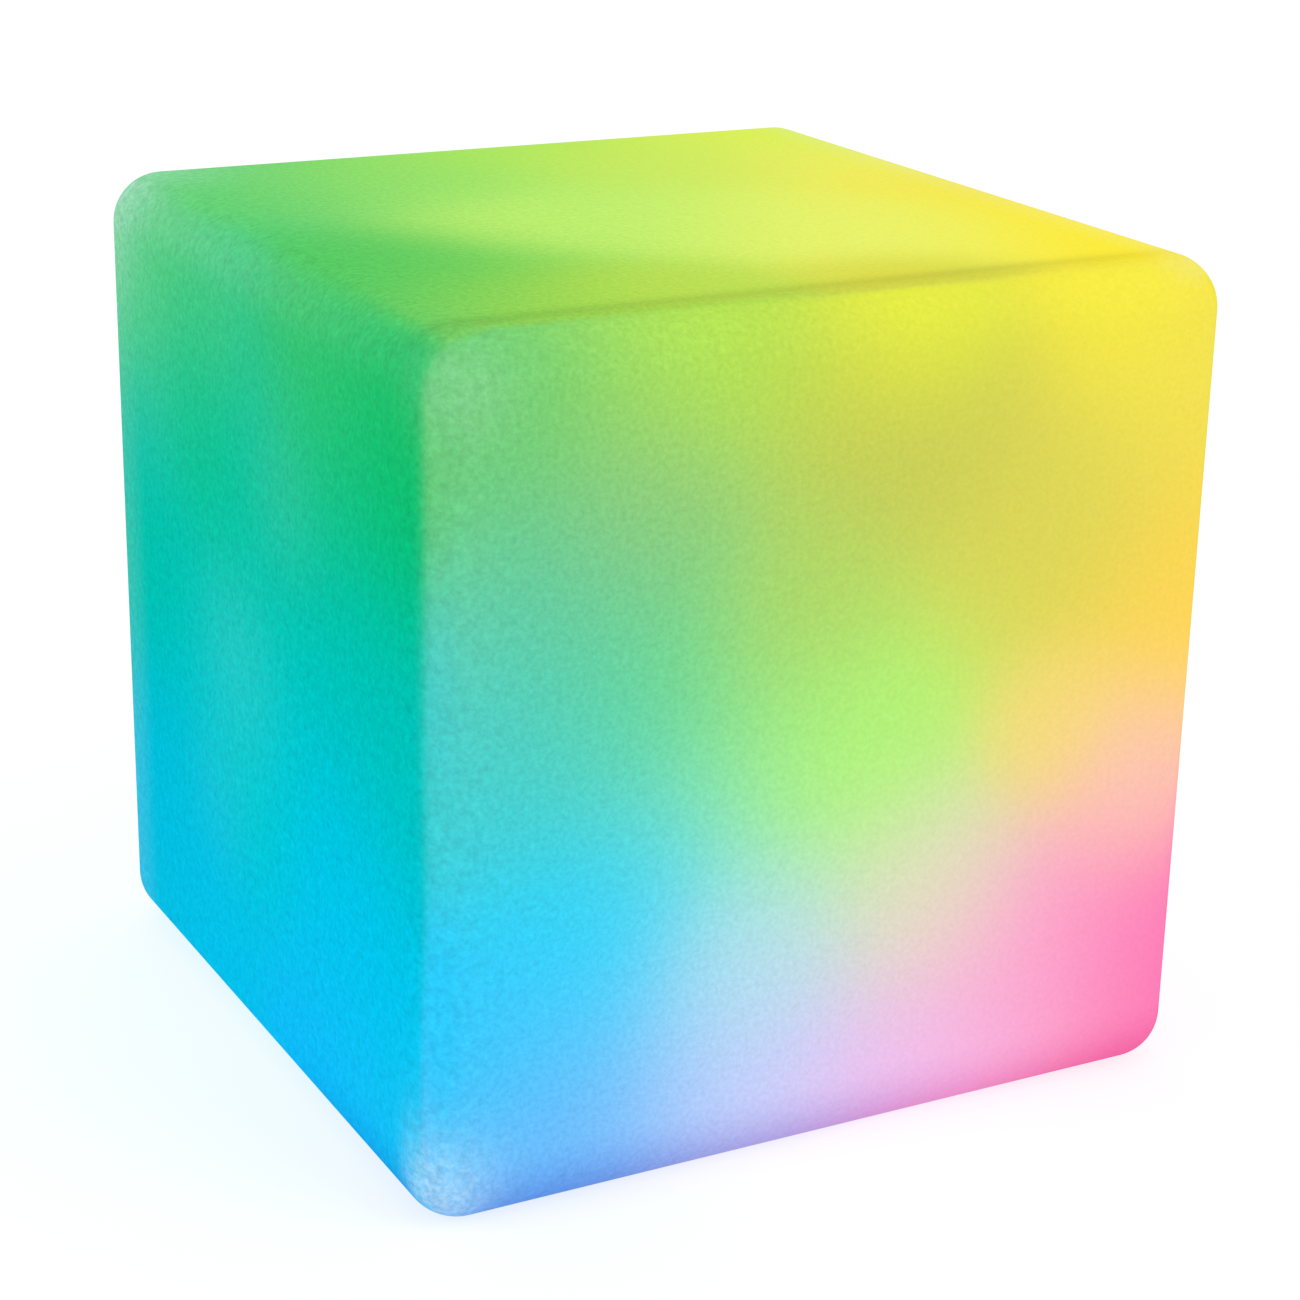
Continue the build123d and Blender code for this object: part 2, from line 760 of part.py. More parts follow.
with BuildPart() as battery_sleeve:
    with BuildSketch(Plane.YZ):
        pack_section(part_gap + sleeve_thickness, cell_z)
        with Locations((0, cell_z)):
            SlotCenterToCenter(2 * cell_y, 2 * (cell_radius + part_gap), mode=Mode.SUBTRACT)
    extrude(amount=cell_length / 2, both=True)

strap_y = pack_half_width + part_gap + strap_thickness + strap_foot / 2

with BuildPart() as battery_cradle:
    with BuildSketch(Plane.XY.offset(deck_bottom)):
        RectangleRounded(2 * deck_half_x, 2 * deck_half_y, board_corner - 1)
        with Locations(standoff_places):
            Circle(m3_hole_radius, mode=Mode.SUBTRACT)
    extrude(amount=deck_thickness)
    # Saddles across the deck, cut to the pack's shape
    for saddle_x in (-deck_half_x + saddle_inset, deck_half_x - saddle_inset):
        with BuildSketch(Plane.YZ.offset(saddle_x - saddle_thickness / 2)):
            with Locations((0, deck_top)):
                Rectangle(
                    2 * (cell_y + cell_radius * saddle_reach),
                    pack_lift + saddle_rise,
                    align=(Align.CENTER, Align.MIN),
                )
            with Locations((0, cell_z)):
                for cell_side in (-1, 1):
                    with Locations((cell_side * cell_y, 0)):
                        Circle(pack_radius + part_gap, mode=Mode.SUBTRACT)
                Rectangle(2 * cell_y, 2 * (pack_radius + part_gap), mode=Mode.SUBTRACT)
        extrude(amount=saddle_thickness)
    # Posts under the deck take the strap's screws
    with BuildSketch(Plane.XY.offset(deck_bottom)):
        with Locations((0, -strap_y), (0, strap_y)):
            Circle(strap_post_radius)
    extrude(amount=-strap_post_length)
    with BuildSketch(Plane.XY.offset(deck_top)):
        with Locations((0, -strap_y), (0, strap_y)):
            Circle(strap_screw_radius + thread_gap)
    extrude(amount=-strap_screw_length, mode=Mode.SUBTRACT)


def strap_arch(growth):
    """A low arch over the pack, down to the deck, grown evenly from the pack's sleeve."""
    pack_section(part_gap + sleeve_thickness + growth, cell_z)
    with Locations((0, deck_top)):
        Rectangle(
            2 * (pack_half_width + growth),
            cell_z - deck_top,
            align=(Align.CENTER, Align.MIN),
        )


with BuildPart() as battery_strap:
    with BuildSketch(Plane.YZ) as strap_section:
        strap_arch(part_gap + strap_thickness)
        with Locations((0, deck_top + strap_thickness / 2)):
            Rectangle(2 * (strap_y + strap_foot / 2), strap_thickness)
        with Locations((0, deck_top)):
            Rectangle(4 * strap_y, pack_radius, align=(Align.CENTER, Align.MAX), mode=Mode.SUBTRACT)
    extrude(amount=strap_width / 2, both=True)
    with BuildSketch(Plane.YZ):
        strap_arch(part_gap)
    extrude(amount=strap_width / 2, both=True, mode=Mode.SUBTRACT)
    with BuildSketch(Plane.XY.offset(deck_top)):
        with Locations((0, -strap_y), (0, strap_y)):
            Circle(strap_screw_radius + part_gap)
    extrude(amount=strap_thickness, mode=Mode.SUBTRACT)

strap_screw = pan_head_screw(
    strap_screw_radius, strap_screw_length, strap_screw_head_radius, strap_screw_head_height
)
with BuildPart() as strap_screws:
    with Locations((0, -strap_y, deck_top + strap_thickness), (0, strap_y, deck_top + strap_thickness)):
        add(strap_screw)

wire_y = wire_pitch / 2
pad_x = pack_end + wire_radius + thread_gap


def battery_wire(y_side):
    """From the plug up to a pad on the end of the pack."""
    points = [
        (connector_x, y_side * wire_y, plug_top),
        (connector_x, y_side * wire_y, plug_top + wire_rise),
        (pad_x, y_side * pad_spread, cell_z + wire_radius - pad_run / 2),
        (pad_x, y_side * pad_spread, cell_z + wire_radius + pad_run / 2),
    ]
    return wire(points, wire_radius)


battery_wire_red = battery_wire(1)
battery_wire_black = battery_wire(-1)

# ---------------------------------------------------------------- standoffs


def standoffs(bottom, length, stud, bore):
    """Four hexagonal spacers with a stud below and a threaded bore above."""
    with BuildPart() as group:
        with BuildSketch(Plane.XY.offset(bottom)):
            with Locations(standoff_places):
                RegularPolygon(hex_flats / 2, 6, major_radius=False, rotation=30)
        extrude(amount=length)
        with BuildSketch(Plane.XY.offset(bottom)):
            with Locations(standoff_places):
                Circle(m3_radius)
        extrude(amount=-stud)
        with BuildSketch(Plane.XY.offset(bottom + length)):
            with Locations(standoff_places):
                Circle(m3_radius + thread_gap)
        extrude(amount=-bore, mode=Mode.SUBTRACT)
    return group.part


lower_bore = stud_length - deck_thickness + rest_gap
lower_standoffs = standoffs(control_top, lower_standoff_length, lower_stud_length, lower_bore)
upper_standoffs = standoffs(deck_top, led_bottom - deck_top, stud_length, led_screw_length)

# ---------------------------------------------------------------- LED board

with BuildPart() as led_board:
    with BuildSketch(Plane.XY.offset(led_bottom)):
        Circle(led_board_radius)
        with Locations(standoff_places):
            Circle(m3_hole_radius, mode=Mode.SUBTRACT)
    extrude(amount=board_thickness)

m3_led_screw = pan_head_screw(m3_radius, led_screw_length, m3_head_radius, m3_head_height)
with BuildPart() as led_board_screws:
    with Locations([(x, y, led_top) for x, y in standoff_places]):
        add(m3_led_screw)


def led_group(circle, count):
    """Square LEDs on the LED board, each with a round well in its top."""
    with BuildPart() as group:
        with BuildSketch(Plane.XY.offset(led_top)):
            with PolarLocations(circle, count):
                Rectangle(led_width, led_width)
        extrude(amount=led_height)
        with BuildSketch(Plane.XY.offset(led_top + led_height)):
            with PolarLocations(circle, count):
                Circle(led_well_radius)
        extrude(amount=-led_well_depth, mode=Mode.SUBTRACT)
    return group.part


rgb_leds = led_group(colour_circle, colour_led_count)
white_leds = led_group(white_ring_radius, white_led_count)

with BuildPart() as ir_receiver:
    with Locations((0, 0, led_top)):
        Box(receiver_width, receiver_width, receiver_height, align=on_board)
    with Locations((0, 0, led_top + receiver_height)):
        Sphere(receiver_dome_radius)

with BuildPart() as reflector_sheet:
    window = led_width + 2 * led_window_gap
    with BuildSketch(Plane.XY.offset(led_top)):
        Circle(led_board_radius)
        with PolarLocations(colour_circle, colour_led_count):
            Rectangle(window, window, mode=Mode.SUBTRACT)
        with PolarLocations(white_ring_radius, white_led_count):
            Rectangle(window, window, mode=Mode.SUBTRACT)
        with Locations(standoff_places):
            Circle(m3_head_radius + led_window_gap, mode=Mode.SUBTRACT)
        receiver_window = receiver_width + 2 * led_window_gap
        Rectangle(receiver_window, receiver_window, mode=Mode.SUBTRACT)
    extrude(amount=reflector_thickness)

led_lead_wires = []
for wire_number in range(lead_wires):
    lead_y = (wire_number - (lead_wires - 1) / 2) * wire_pitch
    lead_run = (led_bottom - plug_top) / lead_bends
    lead_points = [
        (-connector_x, lead_y, plug_top),
        (-connector_x, lead_y, plug_top + lead_run),
        (-connector_x - lead_bulge, lead_y, (plug_top + led_bottom) / 2),
        (-connector_x, lead_y, led_bottom - lead_run),
        (-connector_x, lead_y, led_bottom),
    ]
    led_lead_wires.append(wire(lead_points, lead_wire_radius))

with BuildPart() as led_lead:
    for lead_wire in led_lead_wires:
        add(lead_wire)

# ---------------------------------------------------------------- lens cover

# The dome is part of a ball: outside it passes through its foot on the flange and its top.
ball_radius = (dome_radius**2 + lens_rise**2) / (2 * lens_rise)
ball_centre = lens_flange_top + lens_rise - ball_radius
inner_ball = ball_radius - lens_wall
inner_foot = ball_centre + sqrt(inner_ball**2 - dome_bore**2)

with BuildPart() as lens_cover:
    with BuildSketch(Plane.XZ):
        with BuildLine():
            Polyline(
                (dome_bore, inner_foot),
                (dome_bore, rim_height),
                (cup_outer, rim_height),
                (cup_outer, lens_flange_top),
                (dome_radius, lens_flange_top),
            )
            RadiusArc((dome_radius, lens_flange_top), (0, ball_centre + ball_radius), -ball_radius)
            Line((0, ball_centre + ball_radius), (0, ball_centre + inner_ball))
            RadiusArc((0, ball_centre + inner_ball), (dome_bore, inner_foot), inner_ball)
        make_face()
    revolve(axis=Axis.Z)
    with BuildSketch(Plane.XY.offset(rim_height)):
        with PolarLocations(lens_circle, screw_count):
            Circle(m3_hole_radius)
    extrude(amount=lens_flange_thickness, mode=Mode.SUBTRACT)

with BuildPart() as lens_oring:
    with Locations((0, 0, rim_height - ring_cord_radius - thread_gap)):
        Torus(ring_circle, ring_cord_radius)

m3_lens_screw = pan_head_screw(m3_radius, lens_screw_length, m3_head_radius, m3_head_height)
with BuildPart() as lens_screws:
    with PolarLocations(lens_circle, screw_count):
        with Locations((0, 0, lens_flange_top)):
            add(m3_lens_screw)

# ---------------------------------------------------------------- write the pieces

os.makedirs("parts", exist_ok=True)

save("cube_shell", cube_shell.part)
save("threaded_inserts", threaded_inserts.part)
save("flange_gasket", flange_gasket.part)
save("screw_washers", screw_washers.part)
save("mounting_screws", mounting_screws.part)
save("module_housing", module_housing.part)
save("boss_inserts", boss_inserts.part)
save("power_button", power_button.part)
save("button_oring", button_oring.part)
save("push_switch", push_switch.part)
save("switch_plunger", switch_plunger.part)
save("charging_socket", charging_socket.part)
save("socket_pin", socket_pin.part)
save("socket_seal", socket_seal.part)
save("port_cover", port_cover.part)
save("port_cover_anchor", port_cover_anchor.part)
save("indicator_light_pipe", indicator_light_pipe.part)
save("indicator_led", indicator_led.part)
save("control_board", control_board.part)
save("controller_chip", controller_chip.part)
save("driver_transistors", driver_transistors.part)
save("board_capacitors", board_capacitors.part)
save("charge_inductor", charge_inductor.part)
save("battery_header", battery_header)
save("battery_plug", battery_plug)
save("led_header", led_header)
save("led_plug", led_plug)
save("battery_cells", battery_cells.part)
save("battery_tabs", battery_tabs.part)
save("protection_board", protection_board.part)
save("battery_sleeve", battery_sleeve.part)
save("battery_cradle", battery_cradle.part)
save("battery_strap", battery_strap.part)
save("strap_screws", strap_screws.part)
save("battery_wire_red", battery_wire_red)
save("battery_wire_black", battery_wire_black)
save("lower_standoffs", lower_standoffs)
save("upper_standoffs", upper_standoffs)
save("led_board", led_board.part)
save("led_board_screws", led_board_screws.part)
save("rgb_leds", rgb_leds)
save("white_leds", white_leds)
save("ir_receiver", ir_receiver.part)
save("reflector_sheet", reflector_sheet.part)
save("led_lead", led_lead.part)
save("lens_cover", lens_cover.part)
save("lens_oring", lens_oring.part)
save("lens_screws", lens_screws.part)
print(len(pieces), "pieces written")
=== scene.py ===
import math

import bmesh
import bpy
from mathutils import Matrix, Vector


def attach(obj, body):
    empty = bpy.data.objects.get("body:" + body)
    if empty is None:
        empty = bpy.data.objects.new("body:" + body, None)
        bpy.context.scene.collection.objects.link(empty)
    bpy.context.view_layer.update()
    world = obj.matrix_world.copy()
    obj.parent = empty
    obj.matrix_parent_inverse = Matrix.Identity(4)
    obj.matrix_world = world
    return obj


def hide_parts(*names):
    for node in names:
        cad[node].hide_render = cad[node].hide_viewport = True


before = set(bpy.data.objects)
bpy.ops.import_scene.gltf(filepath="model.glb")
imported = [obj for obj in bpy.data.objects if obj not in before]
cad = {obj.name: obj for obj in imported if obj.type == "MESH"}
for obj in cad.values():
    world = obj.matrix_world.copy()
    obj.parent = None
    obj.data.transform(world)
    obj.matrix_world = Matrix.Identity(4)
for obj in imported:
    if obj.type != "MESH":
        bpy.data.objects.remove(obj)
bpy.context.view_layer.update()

MM = 0.001

# ---------------------------------------------------------------- sizes, as in the CAD model

SIDE = 400 * MM
EDGE_RADIUS = 25 * MM
WALL = 3 * MM
SEAT_HEIGHT = 14 * MM
OPENING_RADIUS = 56 * MM
POCKET_RADIUS = 75 * MM
POCKET_DRAFT = 1.5 * MM
MOUTH_RADIUS = 6 * MM
ROOT_RADIUS = 2 * MM
SCREW_CIRCLE = 65 * MM
SCREW_COUNT = 6
BOSS_RADIUS = 8 * MM
INSERT_LENGTH = 12 * MM
INSERT_HOLE = 4.02 * MM
LENS_CIRCLE = 47.5 * MM
STANDOFF_CIRCLE = 32.509 * MM  # the square of standoffs, as a ring of four
COLOUR_CIRCLE = 36 * MM
WHITE_CIRCLE = 18 * MM
LED_COUNT = 12
CELL_RADIUS = 9.2 * MM
CELL_LENGTH = 65 * MM
CELL_SPREAD = 9.3 * MM
CELL_HEIGHT = 41.4 * MM
BUTTON_X = -24 * MM
PLATE_BOTTOM = 9.5 * MM
BOARD_TOP = 23.6 * MM
LED_TOP = 57.8 * MM


# ---------------------------------------------------------------- node trees

SHARP_ANGLE = math.radians(35)  # between faces that keep the edge between them sharp
SINGLE_VALUE = ("DISTANCE", "LENGTH")  # vector operations that give one number


def is_wide(value):
    """Whether a value has three parts, as a place or a colour has."""
    if isinstance(value, Value):
        value = value.socket
    return isinstance(value, tuple) or getattr(value, "type", None) in ("VECTOR", "RGBA")


class Value:
    """A socket that can stand in a sum. Each sign in the sum adds a node to its graph."""

    def __init__(self, graph, socket):
        self.graph, self.socket = graph, socket

    def joined(self, operation, first, second):
        if not is_wide(first) and not is_wide(second):
            return self.graph.math(operation, first, second)
        scaled = operation == "MULTIPLY" and not is_wide(second)
        return self.graph.vector("SCALE" if scaled else operation, first, second)

    def __add__(self, other):
        return self.joined("ADD", self, other)

    def __radd__(self, other):
        return self.joined("ADD", other, self)

    def __sub__(self, other):
        return self.joined("SUBTRACT", self, other)

    def __rsub__(self, other):
        return self.joined("SUBTRACT", other, self)

    def __mul__(self, other):
        return self.joined("MULTIPLY", self, other)

    def __rmul__(self, other):
        return self.joined("MULTIPLY", other, self)

    def __truediv__(self, other):
        return self.joined("DIVIDE", self, other)

    def __rtruediv__(self, other):
        return self.joined("DIVIDE", other, self)

    def __neg__(self):
        return self * -1.0

    def __abs__(self):
        return (self.graph.vector if is_wide(self) else self.graph.math)("ABSOLUTE", self)

    def __lt__(self, other):
        return self.graph.math("LESS_THAN", self, other)

    def __gt__(self, other):
        return self.graph.math("GREATER_THAN", self, other)


class Graph:
    """Adds nodes to a tree. An input that is a value or socket is linked, any other is set."""

    def __init__(self, tree):
        self.tree = tree

    def put(self, socket, value):
        if isinstance(value, Value):
            value = value.socket
        if isinstance(value, bpy.types.NodeSocket):
            self.tree.links.new(value, socket)
        else:
            socket.default_value = value

    def put_all(self, sockets, values):
        for socket, value in zip(sockets, values):
            self.put(socket, value)

    def add(self, kind, inputs=None, **settings):
        node = self.tree.nodes.new(kind)
        for name, value in settings.items():
            setattr(node, name, value)
        for key, value in (inputs or {}).items():
            self.put(node.inputs[key], value)
        return node

    def out(self, kind, inputs=None, output=0, **settings):
        """Adds a node and gives one of its outputs."""
        return Value(self, self.add(kind, inputs, **settings).outputs[output])

    def math(self, operation, *values, clamp=False):
        node = self.add("ShaderNodeMath", operation=operation, use_clamp=clamp)
        self.put_all(node.inputs, values)
        return Value(self, node.outputs[0])

    def vector(self, operation, *values):
        node = self.add("ShaderNodeVectorMath", operation=operation)
        sockets = [node.inputs[0], node.inputs["Scale"]] if operation == "SCALE" else node.inputs
        self.put_all(sockets, values)
        return Value(self, node.outputs["Value" if operation in SINGLE_VALUE else "Vector"])

    def join_xyz(self, x, y, z):
        return self.out("ShaderNodeCombineXYZ", {"X": x, "Y": y, "Z": z})

    def split_xyz(self, vector):
        parts = self.add("ShaderNodeSeparateXYZ", {"Vector": vector}).outputs
        return [Value(self, part) for part in parts]

    def step(self, value, low, high, start=0.0, end=1.0):
        """Goes smoothly from start, at low, to end, at high."""
        node = self.add("ShaderNodeMapRange", interpolation_type="SMOOTHSTEP")
        self.put_all(node.inputs, (value, low, high, start, end))
        return Value(self, node.outputs[0])

    def mix(self, share, first, second):
        node = self.add("ShaderNodeMix", data_type="RGBA")
        self.put_all((node.inputs[0], node.inputs[6], node.inputs[7]), (share, first, second))
        return Value(self, node.outputs[2])


def geometry_tree(name, sizes):
    """A geometry tree with a named input for each size, and those inputs by name."""
    graph = Graph(bpy.data.node_groups.new(name, "GeometryNodeTree"))
    graph.sizes = sizes
    sockets = graph.tree.interface
    sockets.new_socket("Geometry", in_out="OUTPUT", socket_type="NodeSocketGeometry")
    for label, value in sizes.items():
        kind = "NodeSocketInt" if isinstance(value, int) else "NodeSocketFloat"
        sockets.new_socket(label, in_out="INPUT", socket_type=kind)
    given = graph.add("NodeGroupInput").outputs
    return graph, {label: Value(graph, given[label]) for label in sizes}


def end_tree(graph, geometry, material):
    """Ends a tree: real meshes, smooth but for their sharp edges, with their material."""
    real = graph.out("GeometryNodeRealizeInstances", {"Geometry": geometry})
    soft = graph.out("GeometryNodeInputMeshEdgeAngle") < SHARP_ANGLE
    real = graph.out("GeometryNodeSetShadeSmooth", {"Geometry": real}, domain="FACE")
    given = {"Geometry": real, "Shade Smooth": soft}
    real = graph.out("GeometryNodeSetShadeSmooth", given, domain="EDGE")
    real = graph.out("GeometryNodeSetMaterial", {"Geometry": real, "Material": material})
    graph.put(graph.add("NodeGroupOutput").inputs[0], real)


def in_scene(name, mesh):
    thing = bpy.data.objects.new(name, mesh)
    bpy.context.scene.collection.objects.link(thing)
    return thing


def grown(graph, geometry, material):
    """The plain mesh object that a geometry tree makes with its sizes."""
    end_tree(graph, geometry, material)
    name = graph.tree.name
    seed = in_scene(name + "_seed", bpy.data.meshes.new(name + "_seed"))
    modifier = seed.modifiers.new("Grow", "NODES")
    modifier.node_group = graph.tree
    for item in graph.tree.interface.items_tree:
        if item.in_out == "INPUT":
            modifier[item.identifier] = graph.sizes[item.name]
    whole = bpy.context.evaluated_depsgraph_get()
    mesh = bpy.data.meshes.new_from_object(seed.evaluated_get(whole), depsgraph=whole)
    bpy.data.objects.remove(seed)
    for number in reversed(range(len(mesh.materials))):
        if mesh.materials[number] is None:
            mesh.materials.pop(index=number)
    mesh.name = name
    return in_scene(name, mesh)


def fit(piece, body, slot, *nodes):
    """Puts a finished piece on its body, in place of its CAD nodes."""
    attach(piece, body)
    if nodes:
        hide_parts(*nodes)
    return piece


# ---------------------------------------------------------------- colours


def colour(red, green, blue):
    """A screen colour, 0 to 255, as the linear colour that the shaders work in."""
    shares = [part / 255 for part in (red, green, blue)]
    linear = [s / 12.92 if s <= 0.04045 else ((s + 0.055) / 1.055) ** 2.4 for s in shares]
    return (*linear, 1.0)


def swing(value, amount):
    """A value from 0 to 1 as one that swings either side of 0, over that amount."""
    return value.graph.math("MULTIPLY_ADD", value, amount, -amount / 2)


class Finish(Graph):
    """The graph of a material's nodes. place is the object coordinates."""

    def __init__(self, name, roughness, specular=0.5, metallic=0.0):
        self.material = bpy.data.materials.new(name)
        self.material.use_nodes = True
        super().__init__(self.material.node_tree)
        self.shader = self.tree.nodes["Principled BSDF"]
        self.roughness = roughness
        self.give("Roughness", roughness)
        self.give("Specular IOR Level", specular)
        self.give("Metallic", metallic)
        self.place = self.out("ShaderNodeTexCoord", output="Object")

    def give(self, label, value):
        """Sets or links an input of the shader."""
        self.put(self.shader.inputs[label], value)

    def noise(self, scale, detail=2.0, stretch=None, roughness=0.6, place=None):
        """Smooth noise from 0 to 1. It is drawn out along an axis whose stretch is under 1."""
        place = place or self.place
        if stretch:
            place = place * stretch
        given = {"Vector": place, "Scale": scale, "Detail": detail, "Roughness": roughness}
        return self.out("ShaderNodeTexNoise", given)

    def paint(self, tint, *lifts):
        """Paints the tint, brighter or darker by the sum of the lifts."""
        total = 1.0
        for lift in lifts:
            total = total + lift
        self.give("Base Color", (tint if isinstance(tint, Value) else tint[:3]) * total)

    def vary_gloss(self, value, amount=0.2):
        """Lets the gloss swing with a value from 0 to 1."""
        self.give("Roughness", swing(value, amount) + self.roughness)

    def bump(self, height, distance, strength=0.5):
        given = {"Height": height, "Strength": strength, "Distance": distance}
        self.give("Normal", self.out("ShaderNodeBump", given))


# ---------------------------------------------------------------- glowing shell

# Where the coloured light pools on each side: place in halves of the cube's side from its
# middle, reach and colour. A place on the front and left has two numbers (across from the
# viewer's left, up) and one on the top too (across, to the back). Besides the inner light,
# the colours hold painted light and shade: the front's are paler with painted light, and
# the left side's deeper and more saturated with painted shade.
FRONT_APART = 0.5  # the front's light keeps this far apart from its neighbours'
LEFT_APART = 0.22  # and the left side's this far
# painted light: this share of the inner light's colour is painted into the wall's own colour, which is
# really milky white
PAINTED_LIGHT_SHARE = 0.42  # of the light's colour that shows as the wall's own
GLOW_SHARE = 0.68  # and as its glow
MOTTLE, SPECKS, COARSE = 420.0, 300.0, 190.0  # how fine the moulded grain is

front_pools = [
    ((-0.85, 0.85), 0.35, (104, 204, 118)),
    ((-0.35, 0.95), 0.30, (185, 230, 80)),
    ((0.14, 0.96), 0.20, (242, 248, 56)),
    ((0.70, 0.98), 0.22, (246, 238, 60)),
    ((0.90, 0.80), 0.30, (244, 226, 84)),
    # painted shade: a duller olive patch on the front's upper middle
    ((0.08, 0.72), 0.30, (198, 203, 88)),
    ((0.50, 0.45), 0.30, (220, 214, 88)),
    ((0.95, 0.18), 0.30, (255, 215, 85)),
    ((-0.02, -0.06), 0.36, (180, 245, 118)),
    ((-0.45, 0.25), 0.32, (108, 215, 140)),
    ((-0.85, 0.15), 0.30, (66, 207, 208)),
    ((-0.72, 0.42), 0.22, (98, 204, 160)),
    ((-1.00, -0.60), 0.24, (0, 206, 255)),
    ((-0.56, -0.36), 0.36, (30, 214, 255)),
    ((-0.75, -0.85), 0.36, (114, 184, 255)),
    ((-0.18, -0.76), 0.30, (204, 210, 255)),
    ((0.20, -0.85), 0.28, (246, 190, 240)),
    ((0.95, -0.66), 0.32, (255, 122, 182)),
    ((0.82, -0.22), 0.22, (254, 200, 184)),
    ((0.22, -0.42), 0.24, (232, 226, 198)),
    ((-0.12, 0.36), 0.20, (182, 214, 96)),
    ((-0.50, 0.58), 0.22, (148, 200, 124)),
    ((-0.20, -0.48), 0.20, (190, 230, 240)),
    ((0.56, -0.05), 0.17, (250, 220, 122)),
    ((0.52, -0.64), 0.30, (255, 168, 208)),
]
left_pools = [
    ((-0.85, 0.88), 0.34, (78, 208, 140)),
    ((-0.25, 0.84), 0.22, (72, 204, 130)),
    ((-0.30, 0.55), 0.24, (16, 197, 138)),
    ((0.60, 0.75), 0.40, (0, 196, 118)),
    ((0.00, 0.40), 0.40, (0, 197, 160)),
    ((-0.80, 0.20), 0.40, (0, 196, 174)),
    ((0.75, 0.15), 0.40, (0, 197, 188)),
    ((0.00, -0.15), 0.40, (0, 204, 210)),
    ((0.60, -0.45), 0.40, (0, 200, 246)),
    ((-0.60, -0.60), 0.40, (0, 194, 222)),
    ((0.40, -0.98), 0.34, (0, 190, 255)),
    ((-0.35, -0.85), 0.30, (0, 198, 244)),
    ((0.92, 0.72), 0.30, (0, 190, 96)),
]
top_pools = [
    ((-0.90, 0.60), 0.36, (98, 206, 114)),
    ((-0.88, -0.40), 0.38, (92, 201, 92)),
    ((-0.60, -0.80), 0.33, (160, 215, 80)),
    ((-0.32, -0.78), 0.22, (194, 222, 84)),
    ((-0.40, 0.65), 0.36, (152, 224, 106)),
    ((-0.10, -0.05), 0.36, (186, 236, 110)),
    ((0.35, 0.60), 0.36, (200, 232, 98)),
    ((0.35, -0.30), 0.36, (232, 240, 106)),
    ((0.20, -0.88), 0.20, (216, 216, 74)),
    ((0.90, 0.40), 0.36, (238, 238, 104)),
]
right_pools = [
    ((-0.60, 0.80), 0.40, (250, 232, 55)),
    ((0.10, 0.70), 0.40, (245, 225, 65)),
    ((0.80, 0.80), 0.40, (215, 238, 85)),
    ((-0.60, 0.10), 0.40, (255, 210, 85)),
    ((0.15, 0.00), 0.40, (255, 180, 90)),
    ((0.85, 0.05), 0.40, (255, 165, 110)),
    ((-0.60, -0.60), 0.40, (255, 118, 178)),
    ((0.15, -0.70), 0.40, (250, 115, 190)),
    ((0.80, -0.75), 0.40, (220, 115, 220)),
]
back_pools = [
    ((0.80, 0.80), 0.40, (215, 238, 85)),
    ((0.05, 0.80), 0.40, (165, 228, 90)),
    ((-0.75, 0.75), 0.40, (75, 200, 112)),
    ((0.80, 0.05), 0.40, (255, 170, 120)),
    ((0.10, 0.10), 0.40, (150, 220, 140)),
    ((-0.75, 0.00), 0.40, (5, 195, 175)),
    ((-0.75, -0.70), 0.40, (0, 190, 240)),
    ((0.00, -0.65), 0.40, (125, 165, 252)),
    ((0.75, -0.70), 0.40, (210, 120, 225)),
]
base_pools = [
    ((-0.70, -0.50), 0.40, (60, 185, 250)),
    ((-0.65, 0.50), 0.40, (40, 180, 245)),
    ((0.00, -0.70), 0.40, (190, 180, 245)),
    ((0.00, 0.60), 0.40, (140, 150, 250)),
    ((0.70, -0.50), 0.40, (250, 130, 190)),
    ((0.70, 0.50), 0.40, (215, 120, 222)),
    ((0.00, 0.00), 0.40, (170, 165, 248)),
]
light_pools = (
    [((across, -1 - FRONT_APART, up), *rest) for (across, up), *rest in front_pools]
    + [((-1 - LEFT_APART, -across, up), *rest) for (across, up), *rest in left_pools]
    + [((across, deep, 1), *rest) for (across, deep), *rest in top_pools]
    + [((1, across, up), *rest) for (across, up), *rest in right_pools]
    + [((across, 1, up), *rest) for (across, up), *rest in back_pools]
    + [((across, deep, -1), *rest) for (across, deep), *rest in base_pools]
)


def bell(graph, span):
    """1 where the span is 0, falling off either side."""
    return graph.math("POWER", math.exp(-1), span * span)


def patch(graph, place, centre, reach):
    return bell(graph, graph.vector("DISTANCE", place, centre) / reach)


def band(graph, value, middle, width):
    return bell(graph, (value - middle) / width)


def pooled_light(graph, place):
    """The colour at a place: the mean of the pools, each weighted by its nearness."""
    total = weights = None
    for centre, reach, tint in light_pools:
        weight = patch(graph, place, centre, reach)
        part = colour(*tint)[:3] * weight
        total = part if total is None else total + part
        weights = weight if weights is None else weights + weight
    return total * (1.0 / weights)


def grain_shade(graph, across, mottle, coarse):
    """How the moulded grain darkens and lightens the wall, more so towards the left."""
    depth = graph.step(across, 0.5, -0.9, 0.18, 0.52)
    shade = graph.math("MULTIPLY_ADD", mottle - 0.5, depth, 1.0)
    coarse_depth = depth * graph.step(across, -0.6, -0.98, 0.2, 0.7)
    return graph.math("MULTIPLY_ADD", coarse - 0.5, coarse_depth, shade)


